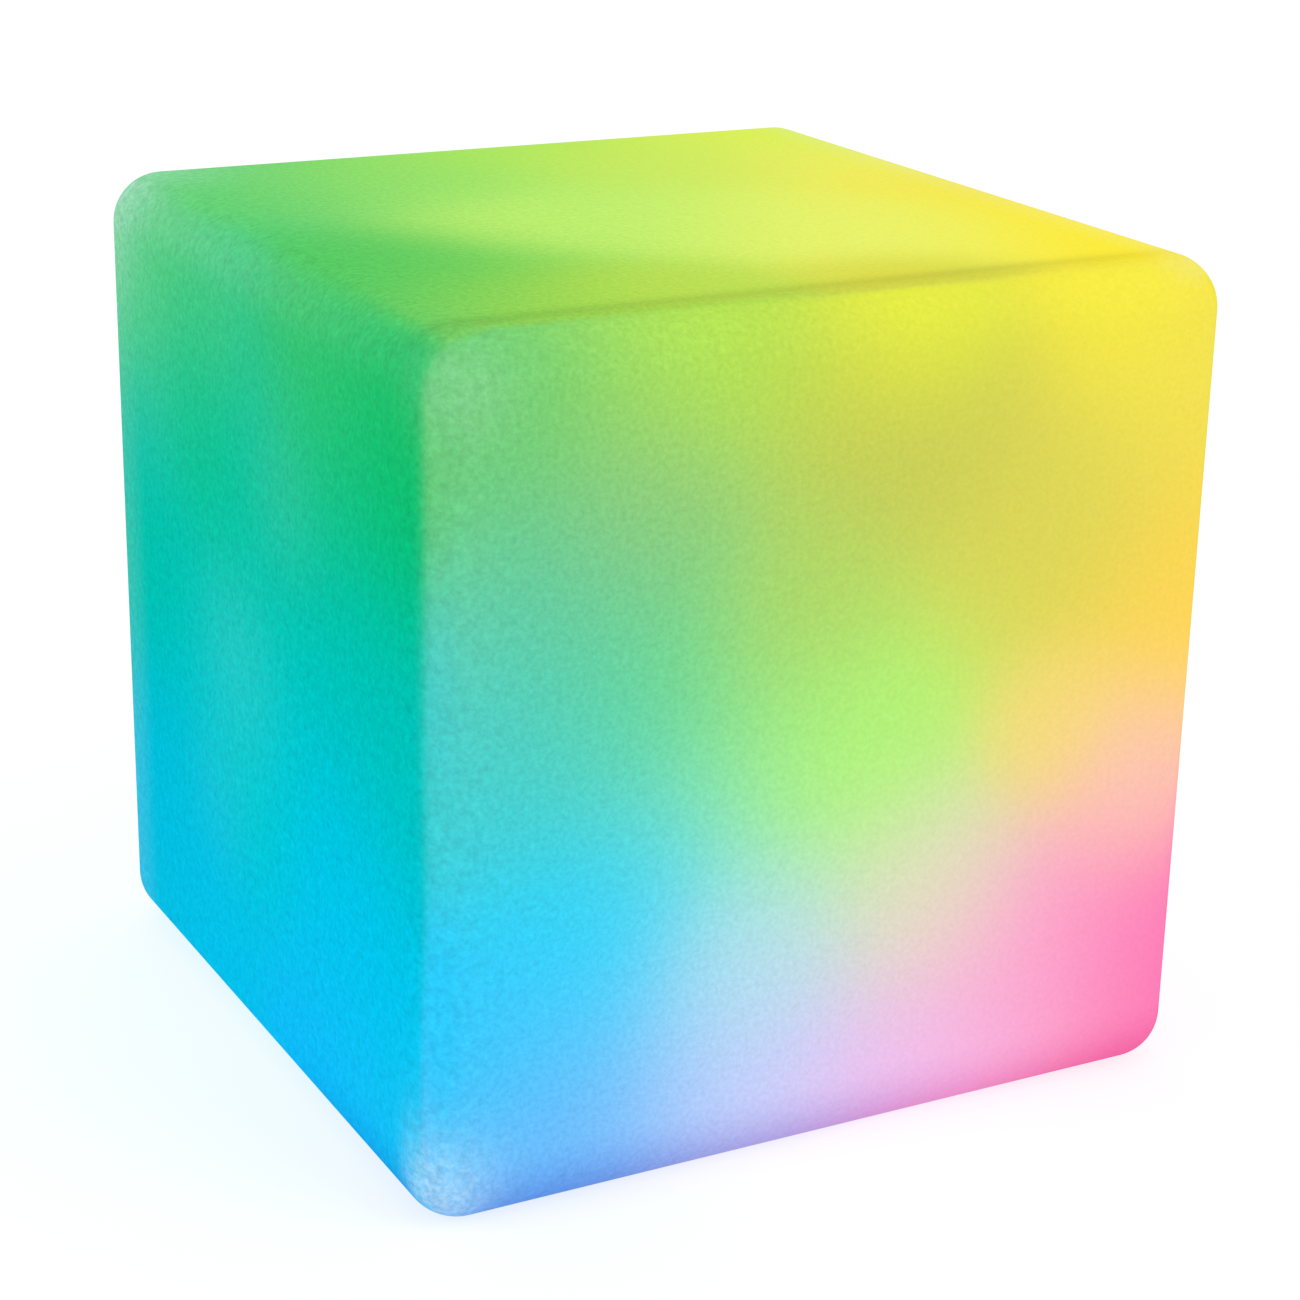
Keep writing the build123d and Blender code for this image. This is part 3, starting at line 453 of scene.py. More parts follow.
def painted_highlight(graph, halves, front):
    """Where painted highlights pale the wall: along the upright front edge, at the corners and along
    the top and back edges, with paler patches on parts of the left side; and how near a place is
    to the low corner's painted highlight."""
    across, deep, up = graph.split_xyz(halves)
    # painted highlight along the upright front edge
    edge = front * graph.step(across, -0.72, -0.95)
    highlight_share = edge * graph.step(up, -0.4, 0.6, 0.0, 0.028)
    corner_highlight = graph.step(deep, -0.80, -0.95) * patch(graph, halves, (-0.98, -0.97, -0.92), 0.14)
    left_top_highlight = graph.step(across, -0.90, -0.96) * band(graph, up, 0.94, 0.06)
    # painted highlights at the low corner, the top corners and along the top and back edges; the last three
    # are paler patches on the left side
    parts = [
        (corner_highlight, 0.50),
        (patch(graph, halves, (-0.90, -1.0, 0.88), 0.11), 0.085),
        (patch(graph, halves, (-0.96, 0.95, 0.95), 0.24), 0.30),
        (left_top_highlight * graph.step(deep, -0.95, 0.9, 0.25, 1.0), 0.09),
        (graph.step(deep, 0.72, 0.92) * graph.step(across, -0.90, -0.98), 0.07),
        (graph.step(across, 0.78, 0.93) * graph.step(up, 0.93, 0.99), 0.12),
        (graph.step(deep, 0.84, 0.97) * graph.step(up, 0.93, 0.99), 0.05),
        (patch(graph, halves, (-1, -0.20, 0.50), 0.20), 0.022),
        (patch(graph, halves, (-1, 0.10, 0.00), 0.24), 0.022),
        (patch(graph, halves, (-1, 0.25, -0.40), 0.20), 0.010),
    ]
    for share, strength in parts:
        highlight_share = graph.math("MULTIPLY_ADD", share, strength, highlight_share)
    return highlight_share, corner_highlight


def edge_shade(graph, light, shade, halves, corner_highlight):
    """The light with painted shade: a dark line in the crease where the top meets the front, a
    deeper right edge where the fillet turns away, and a darker violet and pink bottom edge."""
    across, deep, up = graph.split_xyz(halves)
    # painted shade: a dark line in the crease where the top meets the front
    crease_shade = band(graph, deep, -0.87, 0.040) * graph.step(up, 0.90, 0.97)
    crease_shade = crease_shade * graph.step(across, 1.0, 0.65, 0.2, 1.0)
    crease_shade = crease_shade * graph.step(across, -0.99, -0.86, 0.3, 1.0)
    light = light * graph.math("MULTIPLY_ADD", crease_shade, -0.16, shade)
    # painted shade: a deeper band along the right edge, where the fillet turns away
    rim_shade = graph.step(deep, -0.982, -0.945) * graph.step(deep, -0.89, -0.92)
    rim_shade = rim_shade * graph.step(across, 0.90, 0.95) * graph.step(up, 0.97, 0.93)
    rim_shade_tint = graph.mix(graph.step(up, -0.1, -0.4), (1.0, 0.95, 0.35, 1), (1.0, 0.75, 0.85, 1))
    light = graph.mix(rim_shade, light, light * rim_shade_tint)
    # painted shade: a darker violet and pink band along the bottom edge, where it turns down, less at the
    # low corner's painted highlight
    bottom = graph.step(up, -0.80, -0.99) * graph.step(deep, 0.0, -0.9)
    bottom = bottom * graph.step(corner_highlight, 0.9, 0.2, 0.3, 1.0)
    shade_violet, shade_pink = (0.70, 0.62, 0.84, 1), (0.95, 0.60, 0.78, 1)
    bottom_shade_tint = graph.mix(graph.step(across, -0.1, 0.45), shade_violet, shade_pink)
    return graph.mix(bottom, light, light * bottom_shade_tint)


def glowing_polyethylene():
    """Milky moulded plastic, lit from inside: a glow, the same colour painted into the surface's own colour
    as painted light, and painted shade and painted highlights.
    """
    graph = Finish("glowing_polyethylene", 0.6, specular=0.0)
    halves = (graph.place - (0, 0, SIDE / 2)) * (2 / SIDE)
    across, deep, up = graph.split_xyz(halves)
    later = graph.step(across, -0.80, -0.92, 0.0, -0.028)  # the front's light starts late at the left edge
    front = graph.step(deep - later, -0.89, -0.94)
    left = graph.step(across, -0.90, -0.985)
    apart = graph.join_xyz(
        graph.math("MULTIPLY_ADD", left, -LEFT_APART, across),
        graph.math("MULTIPLY_ADD", front, -FRONT_APART, deep),
        up,
    )
    light = pooled_light(graph, apart)

    mottle = graph.noise(MOTTLE, 3.0, roughness=0.65)
    specks = graph.noise(SPECKS, roughness=0.8)
    coarse = graph.noise(COARSE)
    shade = grain_shade(graph, across, mottle, coarse)
    highlight_share, corner_highlight = painted_highlight(graph, halves, front)
    # the painted highlights are a pale cyan, bluer low down, and speckled with the grain
    speckled = graph.step(specks, 0.36, 0.66, 0.7, 1.3)
    highlight_tint = graph.mix(graph.step(up, -0.3, -0.8), (0.66, 0.84, 0.80, 1), (0.60, 0.86, 0.98, 1))
    light = graph.mix(highlight_share * speckled, light, highlight_tint)
    light = edge_shade(graph, light, shade, halves, corner_highlight)

    # painted light: the inner light's colour painted into the wall's own colour
    graph.give("Base Color", light * PAINTED_LIGHT_SHARE)
    graph.give("Emission Color", light * GLOW_SHARE)
    graph.give("Emission Strength", 1.0)
    graph.bump(mottle, 0.4 * MM, 0.25)
    return graph.material


# ---------------------------------------------------------------- geometry helpers


def here(graph):
    return graph.out("GeometryNodeInputPosition")


def index_of(graph):
    return graph.out("GeometryNodeInputIndex")


def put_at(graph, mesh, position, **more):
    given = {"Geometry": mesh, "Position": position, **more}
    return graph.out("GeometryNodeSetPosition", given)


def moved(graph, mesh, translation=(0, 0, 0), rotation=(0, 0, 0)):
    given = {"Geometry": mesh, "Translation": translation, "Rotation": rotation}
    return graph.out("GeometryNodeTransform", given)


def copied(graph, points, mesh, **more):
    """The mesh at each of the points."""
    return graph.out("GeometryNodeInstanceOnPoints", {"Points": points, "Instance": mesh, **more})


def by_index(graph, values, kind="FLOAT"):
    """The value of that number for each point of a line."""
    switch = graph.add("GeometryNodeIndexSwitch", data_type=kind)
    while len(switch.index_switch_items) < len(values):
        switch.index_switch_items.new()
    graph.put(switch.inputs[0], index_of(graph))
    for number, value in enumerate(values):
        graph.put(switch.inputs[number + 1], value)
    return switch.outputs[0]


def profile_curve(graph, points, radii=None, arc_steps=3, cuts=None):
    """An open curve through points in its XY plane, with its corners rounded to radii, and its
    runs cut into steps, each by the number for its first point."""
    line = graph.out("GeometryNodeMeshLine", {"Count": len(points)})
    line = put_at(graph, line, by_index(graph, points, "VECTOR"))
    if radii:
        given = {"Geometry": line, "Name": "rounding", "Value": by_index(graph, radii)}
        line = graph.out("GeometryNodeStoreNamedAttribute", given)
    curve = graph.out("GeometryNodeMeshToCurve", {"Mesh": line})
    if cuts:
        given = {"Curve": curve, "Cuts": by_index(graph, cuts, "INT")}
        curve = graph.out("GeometryNodeSubdivideCurve", given)
    if radii:
        rounding = graph.out("GeometryNodeInputNamedAttribute", {"Name": "rounding"})
        given = {"Curve": curve, "Count": arc_steps, "Radius": rounding, "Limit Radius": True}
        curve = graph.out("GeometryNodeFilletCurve", given, mode="POLY")
    return curve


def turned(graph, points, radii=None, arc_steps=3, around=24, cuts=None, rail=1 * MM, closeness=0.000001):
    """A shape turned about Z from (radius, height) points. Its stuff is on their right-hand
    side, so a solid's points start on the axis, at the top."""
    section = [graph.join_xyz(radius - rail, -height, 0.0) for radius, height in points]
    profile = profile_curve(graph, section, radii, arc_steps, cuts)
    circle = graph.out("GeometryNodeCurvePrimitiveCircle", {"Resolution": around, "Radius": rail})
    swept = graph.out("GeometryNodeCurveToMesh", {"Curve": circle, "Profile Curve": profile})
    given = {"Geometry": swept, "Distance": closeness}
    return graph.out("GeometryNodeMergeByDistance", given)


def ridged(graph, mesh, radius, depth, turns):
    """Cuts ridges into the round wall at that radius. turns counts them at a place."""
    outward = here(graph) * (1, 1, 0)
    offcentre = abs(graph.vector("LENGTH", outward) - radius)
    on_wall = offcentre < radius * 0.02
    wave = abs(graph.math("FRACT", turns) - 0.5)
    cut = wave * depth * -2.0
    offset = graph.vector("NORMALIZE", outward) * cut
    given = {"Geometry": mesh, "Selection": on_wall, "Offset": offset}
    return graph.out("GeometryNodeSetPosition", given)


def turn_share(graph):
    """How far round the axis a place is, in turns."""
    x, y, z = graph.split_xyz(here(graph))
    return graph.math("ARCTAN2", y, x) / (2 * math.pi), z


def threaded(graph, mesh, radius, depth, pitch, low, high):
    """Cuts a screw thread between two heights, run out at both ends."""
    share, height = turn_share(graph)
    turns = height / pitch - share
    fade = graph.step(height, low, low + pitch) * graph.step(height, high, high - pitch)
    return ridged(graph, mesh, radius, depth * fade, turns)


def knurled(graph, mesh, radius, depth, count):
    """Cuts that many grooves round the wall."""
    share, _ = turn_share(graph)
    return ridged(graph, mesh, radius, depth, share * count)


def drum(graph, radius, top, bottom, foot=None, **more):
    """A turned solid between two heights. Its foot may have a radius of its own."""
    points = [(0.0, top), (radius, top), (radius if foot is None else foot, bottom), (0.0, bottom)]
    return turned(graph, points, **more)


def block(graph, size, middle=(0, 0, 0)):
    cube = graph.out("GeometryNodeMeshCube", {"Size": size}, output="Mesh")
    return moved(graph, cube, middle)


def cut_away(graph, mesh, *tools, join=False):
    """The mesh less the tools, or with them joined on."""
    kind = "UNION" if join else "DIFFERENCE"
    boolean = graph.add("GeometryNodeMeshBoolean", operation=kind, solver="MANIFOLD")
    graph.put(boolean.inputs["Mesh 2" if join else "Mesh 1"], mesh)
    for tool in tools:
        graph.put(boolean.inputs["Mesh 2"], tool)
    return Value(graph, boolean.outputs[0])


def together(graph, *parts):
    joined = graph.add("GeometryNodeJoinGeometry")
    for part in parts:
        graph.put(joined.inputs[0], part)
    return Value(graph, joined.outputs[0])


def lathe_marked(graph, mesh):
    """Keeps each place on a single part as an attribute, for the finish to follow."""
    given = {"Geometry": mesh, "Name": "lathe", "Value": here(graph)}
    return graph.out("GeometryNodeStoreNamedAttribute", given, data_type="FLOAT_VECTOR")


def ringed(graph, mesh, size, facing=1.0):
    """The mesh, repeated on a level ring of those sizes. Facing 0 keeps each copy unturned."""
    count, radius = size["Count"], size["Circle"]
    points = graph.out("GeometryNodeMeshLine", {"Count": count})
    share = index_of(graph) / count
    angle = graph.math("MULTIPLY_ADD", share, 2 * math.pi, size.get("Phase", 0.0))
    across = graph.math("COSINE", angle) * radius
    deep = graph.math("SINE", angle) * radius
    points = put_at(graph, points, graph.join_xyz(across, deep, size["Seat"]))
    turn = graph.join_xyz(0.0, 0.0, angle * facing)
    rotation = graph.out("FunctionNodeEulerToRotation", {0: turn})
    return copied(graph, points, mesh, Rotation=rotation)


def spaced(graph, count, pitch):
    """A line of points, and how far along it each has to go, either side of its middle."""
    points = graph.out("GeometryNodeMeshLine", {"Count": count})
    return points, (index_of(graph) - (count - 1) * 0.5) * pitch


def cube_skin(graph, half, radius, flat_steps, edge_steps, hole_steps, hole_radius, sink):
    """A closed skin of the cube: even steps on the flats, even angles round the edges, a round
    hole in the base, and side faces that sink a little, as cooling plastic does."""
    steps = flat_steps + edge_steps
    count = graph.math("MULTIPLY_ADD", steps, 2.0, 1.0)
    given = {"Size": (2, 2, 2), "Vertices X": count, "Vertices Y": count, "Vertices Z": count}
    cube = graph.out("GeometryNodeMeshCube", given, output="Mesh")
    place = here(graph)
    along = abs(place) * steps
    sign = place / abs(place)
    flats = graph.join_xyz(flat_steps, flat_steps, flat_steps)
    flat = graph.vector("MINIMUM", along, flats) * (1.0 / flat_steps)
    beyond = graph.vector("MAXIMUM", along - flats, (0, 0, 0))
    turn = beyond * (math.pi / 4 / edge_steps)
    outward = graph.vector("NORMALIZE", sign * graph.vector("TANGENT", turn))
    core = sign * (flat * (half - radius))
    rounded = core + outward * radius

    # Sunk faces, but not the base
    left = (1, 1, 1) - flat * flat
    left_x, left_y, left_z = graph.split_xyz(left)
    above = graph.split_xyz(place)[2] > 0.0
    pull = graph.join_xyz(left_y * left_z, left_x * left_z, left_x * left_y * above)
    rounded = rounded + sign * pull * -sink

    # The base's square of steps closes in on the round hole
    along_x, along_y, _ = graph.split_xyz(along)
    ring = graph.math("MAXIMUM", along_x, along_y)
    low = graph.split_xyz(place)[2] < -0.999
    on_base = low * (ring < flat_steps + 0.1)
    spread = graph.vector("TANGENT", along * (math.pi / 4 / ring))
    level = spread * sign * (1, 1, 0)
    circle = graph.vector("NORMALIZE", level) * hole_radius
    circle = circle + rounded * (0, 0, 1)
    rings_left = flat_steps - hole_steps
    share = graph.math("DIVIDE", ring - hole_steps, rings_left, clamp=True)
    closing = graph.add("ShaderNodeMix", data_type="VECTOR")
    graph.put_all((closing.inputs[0], closing.inputs[4], closing.inputs[5]), (share, circle, rounded))
    given = {0: on_base, 1: rounded, 2: closing.outputs[1]}
    skin = graph.out("GeometryNodeSwitch", given, input_type="VECTOR")

    given = {"Geometry": cube, "Selection": low * (ring < hole_steps)}
    opened = graph.out("GeometryNodeDeleteGeometry", given, domain="FACE")
    return put_at(graph, opened, skin + graph.join_xyz(0.0, 0.0, SIDE / 2))


def moulded_shell(sizes, material):
    """The hollow shell, its pocket, and the bosses for its screws."""
    graph, size = geometry_tree("moulded_shell", sizes)
    half = size["Side"] * 0.5
    wall = size["Wall"]
    mouth = size["Pocket Radius"] + size["Pocket Draft"]
    bend_end = mouth + wall + size["Mouth Radius"]
    steps = (size["Flat Steps"], size["Edge Steps"], size["Hole Steps"])
    outer = cube_skin(graph, half, size["Edge Radius"], *steps, bend_end, size["Face Sink"])
    inner = cube_skin(graph, half - wall, size["Edge Radius"] - wall, *steps, bend_end, size["Face Sink"])
    inner = graph.out("GeometryNodeFlipFaces", {"Mesh": inner})

    # The pocket's lining, turned about the cube's axis
    seat = size["Seat Height"]
    pocket = size["Pocket Radius"]
    opening = size["Opening Radius"]
    above = seat + wall
    points = [
        (bend_end, 0.0),
        (mouth, 0.0),
        (pocket, seat),
        (opening, seat),
        (opening, above),
        (pocket + wall, above),
        (mouth + wall, wall),
        (bend_end, wall),
    ]
    root = size["Root Radius"]
    inner_root = root + wall
    inner_mouth = size["Mouth Radius"] - wall
    radii = [0.0, size["Mouth Radius"], root, 0.0, 0.0, inner_root, inner_mouth, 0.0]
    around = size["Hole Steps"] * 8.0
    lining = turned(graph, points, radii, 8, around, rail=bend_end)
    given = {"Geometry": together(graph, outer, inner, lining), "Distance": 0.00001}
    whole = graph.out("GeometryNodeMergeByDistance", given)

    # Bosses on the seat, closed over the holes for the screws' inserts
    boss, hole, deep = size["Boss Radius"], size["Insert Hole"], size["Insert Length"]
    roof = deep + wall
    cover = drum(graph, boss, roof, 0.5 * MM, radii=[0.0, root, 0.0, 0.0], arc_steps=4, around=32)
    drill = drum(graph, hole, deep, -1 * MM, around=32)
    screws = {"Count": size["Screw Count"], "Circle": size["Screw Circle"], "Seat": seat}
    for tool, join in ((cover, True), (drill, False)):
        ring = graph.out("GeometryNodeRealizeInstances", {"Geometry": ringed(graph, tool, screws)})
        whole = cut_away(graph, whole, ring, join=join)
    return grown(graph, whole, material)


shell_sizes = {
    "Side": SIDE,
    "Edge Radius": EDGE_RADIUS,
    "Wall": WALL,
    "Seat Height": SEAT_HEIGHT,
    "Opening Radius": OPENING_RADIUS,
    "Pocket Radius": POCKET_RADIUS,
    "Pocket Draft": POCKET_DRAFT,
    "Mouth Radius": MOUTH_RADIUS,
    "Root Radius": ROOT_RADIUS,
    "Screw Circle": SCREW_CIRCLE,
    "Screw Count": SCREW_COUNT,
    "Boss Radius": BOSS_RADIUS,
    "Insert Length": INSERT_LENGTH,
    "Insert Hole": INSERT_HOLE,
    "Face Sink": 0.6 * MM,
    "Flat Steps": 26,
    "Edge Steps": 8,
    "Hole Steps": 12,
}
fit(moulded_shell(shell_sizes, glowing_polyethylene()), "lamp", "shell", "cube_shell")

# ---------------------------------------------------------------- finishes of the light module


def moulded(name, tint, roughness=0.5, grain=1400.0, depth=0.06 * MM, specular=0.4):
    """Injection moulded plastic: the mould's fine grain, and slow changes of tint and gloss."""
    graph = Finish(name, roughness, specular)
    slow, fine = graph.noise(70.0), graph.noise(grain)
    graph.paint(tint, swing(slow, 0.20), swing(fine, 0.14))
    graph.vary_gloss(slow)
    graph.bump(fine, depth)
    return graph.material


def silicone(name, tint, roughness=0.75):
    """Soft rubber: matte, with a bloom of pale dust."""
    graph = Finish(name, roughness, 0.3)
    slow, fine = graph.noise(110.0), graph.noise(900.0)
    dust = graph.step(graph.noise(260.0, 4.0), 0.50, 0.72, 0.0, 0.6)
    graph.paint(tint, swing(slow, 0.5), dust)
    graph.vary_gloss(slow)
    graph.bump(fine, 0.05 * MM)
    return graph.material


def turned_metal(name, tint, roughness):
    """Metal from the lathe: fine rings about each part's own axis, and slow tarnish."""
    graph = Finish(name, roughness, metallic=1.0)
    lathe = graph.out("ShaderNodeAttribute", attribute_name="lathe", output="Vector")
    height = graph.split_xyz(lathe)[2]
    radius = graph.vector("LENGTH", lathe * (1, 1, 0))
    rings = graph.noise(9000.0, place=graph.join_xyz(radius, height, 0.0))
    tarnish = graph.noise(260.0, 4.0)
    graph.paint(tint, swing(rings, 0.25), swing(tarnish, 0.35))
    uneven = swing(tarnish, 0.25) + swing(rings, 0.12)
    graph.give("Roughness", uneven + roughness)
    graph.bump(rings, 0.01 * MM)
    return graph.material


def brushed_metal(name, tint, roughness, stretch, spots=()):
    """Rolled or drawn metal: fine lines along it, and weld spots."""
    graph = Finish(name, roughness, metallic=1.0)
    lines = graph.noise(6000.0, stretch=stretch)
    slow = graph.noise(200.0)
    height = lines * 0.2
    lifts = [swing(lines, 0.25), swing(slow, 0.25)]
    for spot in spots:
        weld = graph.step(graph.vector("DISTANCE", graph.place, spot), 0.6 * MM, 0.4 * MM)
        height = height - weld
        lifts.append(weld * -0.4)
    graph.paint(tint, *lifts)
    graph.vary_gloss(lines)
    graph.bump(height, 0.05 * MM)
    return graph.material


def pressed_ferrite():
    graph = Finish("pressed_ferrite", 0.7, 0.3)
    grains = graph.add("ShaderNodeTexVoronoi", {"Vector": graph.place, "Scale": 2600.0})
    fine = graph.noise(1500.0)
    shade = graph.split_xyz(grains.outputs["Color"])[0]
    graph.paint(colour(96, 96, 100), swing(shade, 0.5), swing(fine, 0.4))
    graph.bump(grains.outputs["Distance"], 0.05 * MM)
    return graph.material


def insulation(name, tint):
    """Wire insulation: glossy, with faint ripples from its drawing."""
    graph = Finish(name, 0.35)
    ripple, slow = graph.noise(700.0), graph.noise(90.0)
    graph.paint(tint, swing(slow, 0.3), swing(ripple, 0.15))
    graph.vary_gloss(ripple)
    graph.bump(ripple, 0.05 * MM, 0.3)
    return graph.material


def clear_polycarbonate(name, tip_glow=0.0):
    """Clear moulded plastic, with faint flow marks. A light pipe's lower tip glows green."""
    graph = Finish(name, 0.08)
    flow, fine = graph.noise(60.0, 4.0), graph.noise(900.0)
    graph.give("Transmission Weight", 0.9)
    graph.give("IOR", 1.58)
    graph.paint(colour(243, 249, 250), swing(flow, 0.06))
    graph.vary_gloss(fine, 0.06)
    graph.bump(flow, 0.1 * MM, 0.2)
    if tip_glow:
        height = graph.split_xyz(graph.place)[2]
        glow = graph.step(height, PLATE_BOTTOM + 1.5 * MM, PLATE_BOTTOM)
        graph.give("Emission Color", colour(70, 235, 120)[:3] * glow)
        graph.give("Emission Strength", tip_glow)
    return graph.material


def printed_board(name, mask, trace, laminate, low, high, standing=False, bare_radius=3.0 * MM):
    """A printed board between two heights, or two places along X if it stands: solder mask over
    right-angled traces, tinned vias and screw lands, and bare laminate on its edges."""
    graph = Finish(name, 0.3)
    x, y, z = graph.split_xyz(graph.place)
    if standing:
        x, z = z, x
    flat = graph.join_xyz(x, y, 0.0)
    off_middle = abs(z - (low + high) / 2)
    half = (high - low) / 2
    face = graph.step(off_middle, half - 0.10 * MM, half - 0.06 * MM)
    courses = {"Brick Width": 7.3 * MM, "Row Height": 1.7 * MM, "Mortar Size": 0.16 * MM}
    given = {"Vector": flat, "Scale": 1.0, **courses}
    bricks = graph.add("ShaderNodeTexBrick", given, offset=0.37, squash=1.7, squash_frequency=3)
    traces = bricks.outputs["Fac"] * face
    holes = graph.add("ShaderNodeTexVoronoi", {"Vector": flat, "Scale": 230.0, "Randomness": 0.8})
    vias = graph.step(holes.outputs["Distance"], 0.10, 0.07)
    corner = STANDOFF_CIRCLE * math.sqrt(0.5)
    off_x = abs(x) - corner
    off_y = abs(y) - corner
    land = graph.vector("LENGTH", graph.join_xyz(off_x, off_y, 0.0))
    lands = graph.step(land, bare_radius, bare_radius - 0.1 * MM)
    slow = graph.noise(80.0)
    tint = graph.mix(traces, mask, trace)
    tint = graph.mix(graph.math("MAXIMUM", vias, lands), tint, colour(214, 212, 202))
    tint = graph.mix(face, laminate, tint)
    graph.paint(tint, swing(slow, 0.16), swing(graph.noise(1800.0), 0.08))
    graph.vary_gloss(slow)
    graph.bump(traces, 0.04 * MM)
    return graph.material


def shrink_film(name, tint, wrinkles):
    """Shrunk film: glossy, with wrinkles drawn round the cells."""
    graph = Finish(name, 0.28)
    folds = graph.noise(260.0, 3.0, stretch=(1.0, 0.25, 0.25))
    slow = graph.noise(50.0)
    across = graph.split_xyz(graph.place)[0]
    ends = graph.step(abs(across), CELL_LENGTH * 0.36, CELL_LENGTH * 0.5, 0.3, 1.0)
    graph.paint(tint, swing(slow, 0.16), swing(folds, 0.2))
    graph.vary_gloss(folds)
    graph.bump(folds * ends, wrinkles)
    return graph.material


def wrapped_cell():
    """A cell's coloured wrap, with bare nickel inside its ends."""
    graph = Finish("wrapped_cell", 0.3)
    x, y, z = graph.split_xyz(graph.place)
    off_y = abs(y) - CELL_SPREAD
    off_z = z - CELL_HEIGHT
    radius = graph.vector("LENGTH", graph.join_xyz(0.0, off_y, off_z))
    at_end = graph.step(abs(x), CELL_LENGTH / 2 - 1.2 * MM, CELL_LENGTH / 2 - 1.0 * MM)
    bare = at_end * graph.step(radius, 8.2 * MM, 8.1 * MM)
    slow, fine = graph.noise(60.0), graph.noise(700.0)
    seam = graph.step(abs(off_y), 0.6 * MM, 0.5 * MM) * (off_z < 0.0)
    tint = graph.mix(bare, colour(108, 172, 205), colour(190, 186, 176))
    graph.paint(tint, swing(slow, 0.12), swing(fine, 0.06), seam * -0.18)
    graph.bump(fine, 0.04 * MM, 0.3)
    return graph.material


# What the tone attribute says that a place is made of
BODY, LENS, METAL, DIE = 0.0, 1.0, 2.0, 3.0


def is_tone(graph, tone, wanted):
    return graph.step(tone, wanted - 0.6, wanted - 0.4) * graph.step(tone, wanted + 0.6, wanted + 0.4)


def lit_package(name, lit, body=colour(247, 246, 238)):
    """An LED's white package, with its lens, its solder pads and its dies."""
    graph = Finish(name, 0.35)
    tone = graph.out("ShaderNodeAttribute", attribute_name="tone", output="Fac")
    lens, pads = is_tone(graph, tone, LENS), is_tone(graph, tone, METAL)
    x, y, _ = graph.split_xyz(graph.place)
    if lit is None:  # a ring of colours, as the light that the shell shows
        hue = graph.math("FRACT", graph.math("ARCTAN2", y, x) / (2 * math.pi))
        lit = graph.out("ShaderNodeCombineColor", {0: hue, 1: 0.75, 2: 1.0}, mode="HSV")
    slow = graph.noise(900.0)
    tint = graph.mix(lens, body, lit)
    tint = graph.mix(pads, tint, colour(200, 200, 196))
    tint = graph.mix(graph.step(tone, 2.4, 2.6), tint, colour(90, 78, 60))
    graph.paint(tint, swing(slow, 0.1))
    graph.give("Emission Color", graph.mix(lens, (0, 0, 0, 1), lit))
    graph.give("Emission Strength", 0.8)
    graph.bump(slow, 0.02 * MM)
    return graph.material


steel = turned_metal("turned_stainless", colour(206, 206, 208), 0.30)
brass = turned_metal("turned_brass", colour(224, 190, 112), 0.32)
black_moulding = moulded("black_moulding", colour(60, 60, 63), 0.45)


# ---------------------------------------------------------------- screws, washers, inserts


def pan_head_screws(name, sizes, material, heads_down=False, rows=6):
    """Cross recessed screws on a ring, their threads cut inwards from the shank's radius."""
    graph, size = geometry_tree(name, sizes)
    shank, length, depth = size["Shank Radius"], size["Length"], size["Thread Depth"]
    head, high = size["Head Radius"], size["Head Height"]

    def on_head(out, up):
        return head * out, high * up

    end = -length
    tip = shank * 0.67
    shoulder = end + (shank - tip)
    dome = ((0.0, 1.0), (0.3, 0.955), (0.55, 0.848), (0.8, 0.664), (1.0, 0.45))
    points = [on_head(out, up) for out, up in dome]
    points += [(head, 0.0), (shank, 0.0), (shank, shoulder), (tip, end), (0.0, end)]
    turns = sizes["Length"] / sizes["Pitch"]
    cuts = [0, 0, 0, 0, 0, 0, round(turns * rows), 0, 0, 0]
    radii = [0.0, 0.0, 0.0, 0.0, 0.15 * MM, 0.08 * MM, 0.0, 0.0, 0.0, 0.0]
    solid = turned(graph, points, radii, 3, 24, cuts)
    solid = threaded(graph, solid, shank, depth, size["Pitch"], shoulder, 0.0)

    # The cross recess: two crossed blocks that narrow as they go in
    slot = block(graph, graph.join_xyz(head * 1.1, head * 0.32, high * 1.2))
    x, y, z = graph.split_xyz(here(graph))
    narrow = graph.math("MULTIPLY_ADD", z < 0.0, -0.45, 1.0)
    slot = put_at(graph, slot, graph.join_xyz(x * narrow, y * narrow, z + high))
    crossing = moved(graph, slot, rotation=(0, 0, math.pi / 2))
    solid = lathe_marked(graph, cut_away(graph, solid, slot, crossing))
    if heads_down:
        solid = moved(graph, solid, rotation=(math.pi, 0, 0))
    return grown(graph, ringed(graph, solid, size), material)


m4_screw = {
    "Shank Radius": 2.0 * MM,
    "Length": 12 * MM,
    "Thread Depth": 0.35 * MM,
    "Pitch": 0.7 * MM,
    "Head Radius": 4.0 * MM,
    "Head Height": 2.6 * MM,
    "Count": SCREW_COUNT,
    "Circle": SCREW_CIRCLE,
    "Seat": 8.7 * MM,
    "Phase": 0.0,
}
m3_screw = {
    **m4_screw,
    "Shank Radius": 1.5 * MM,
    "Length": 10 * MM,
    "Thread Depth": 0.26 * MM,
    "Pitch": 0.5 * MM,
    "Head Radius": 2.8 * MM,
    "Head Height": 1.9 * MM,
    "Circle": LENS_CIRCLE,
    "Seat": 59.5 * MM,
}
board_screw = {
    **m3_screw,
    "Length": 6 * MM,
    "Count": 4,
    "Circle": STANDOFF_CIRCLE,
    "Seat": LED_TOP,
    "Phase": math.pi / 4,
}
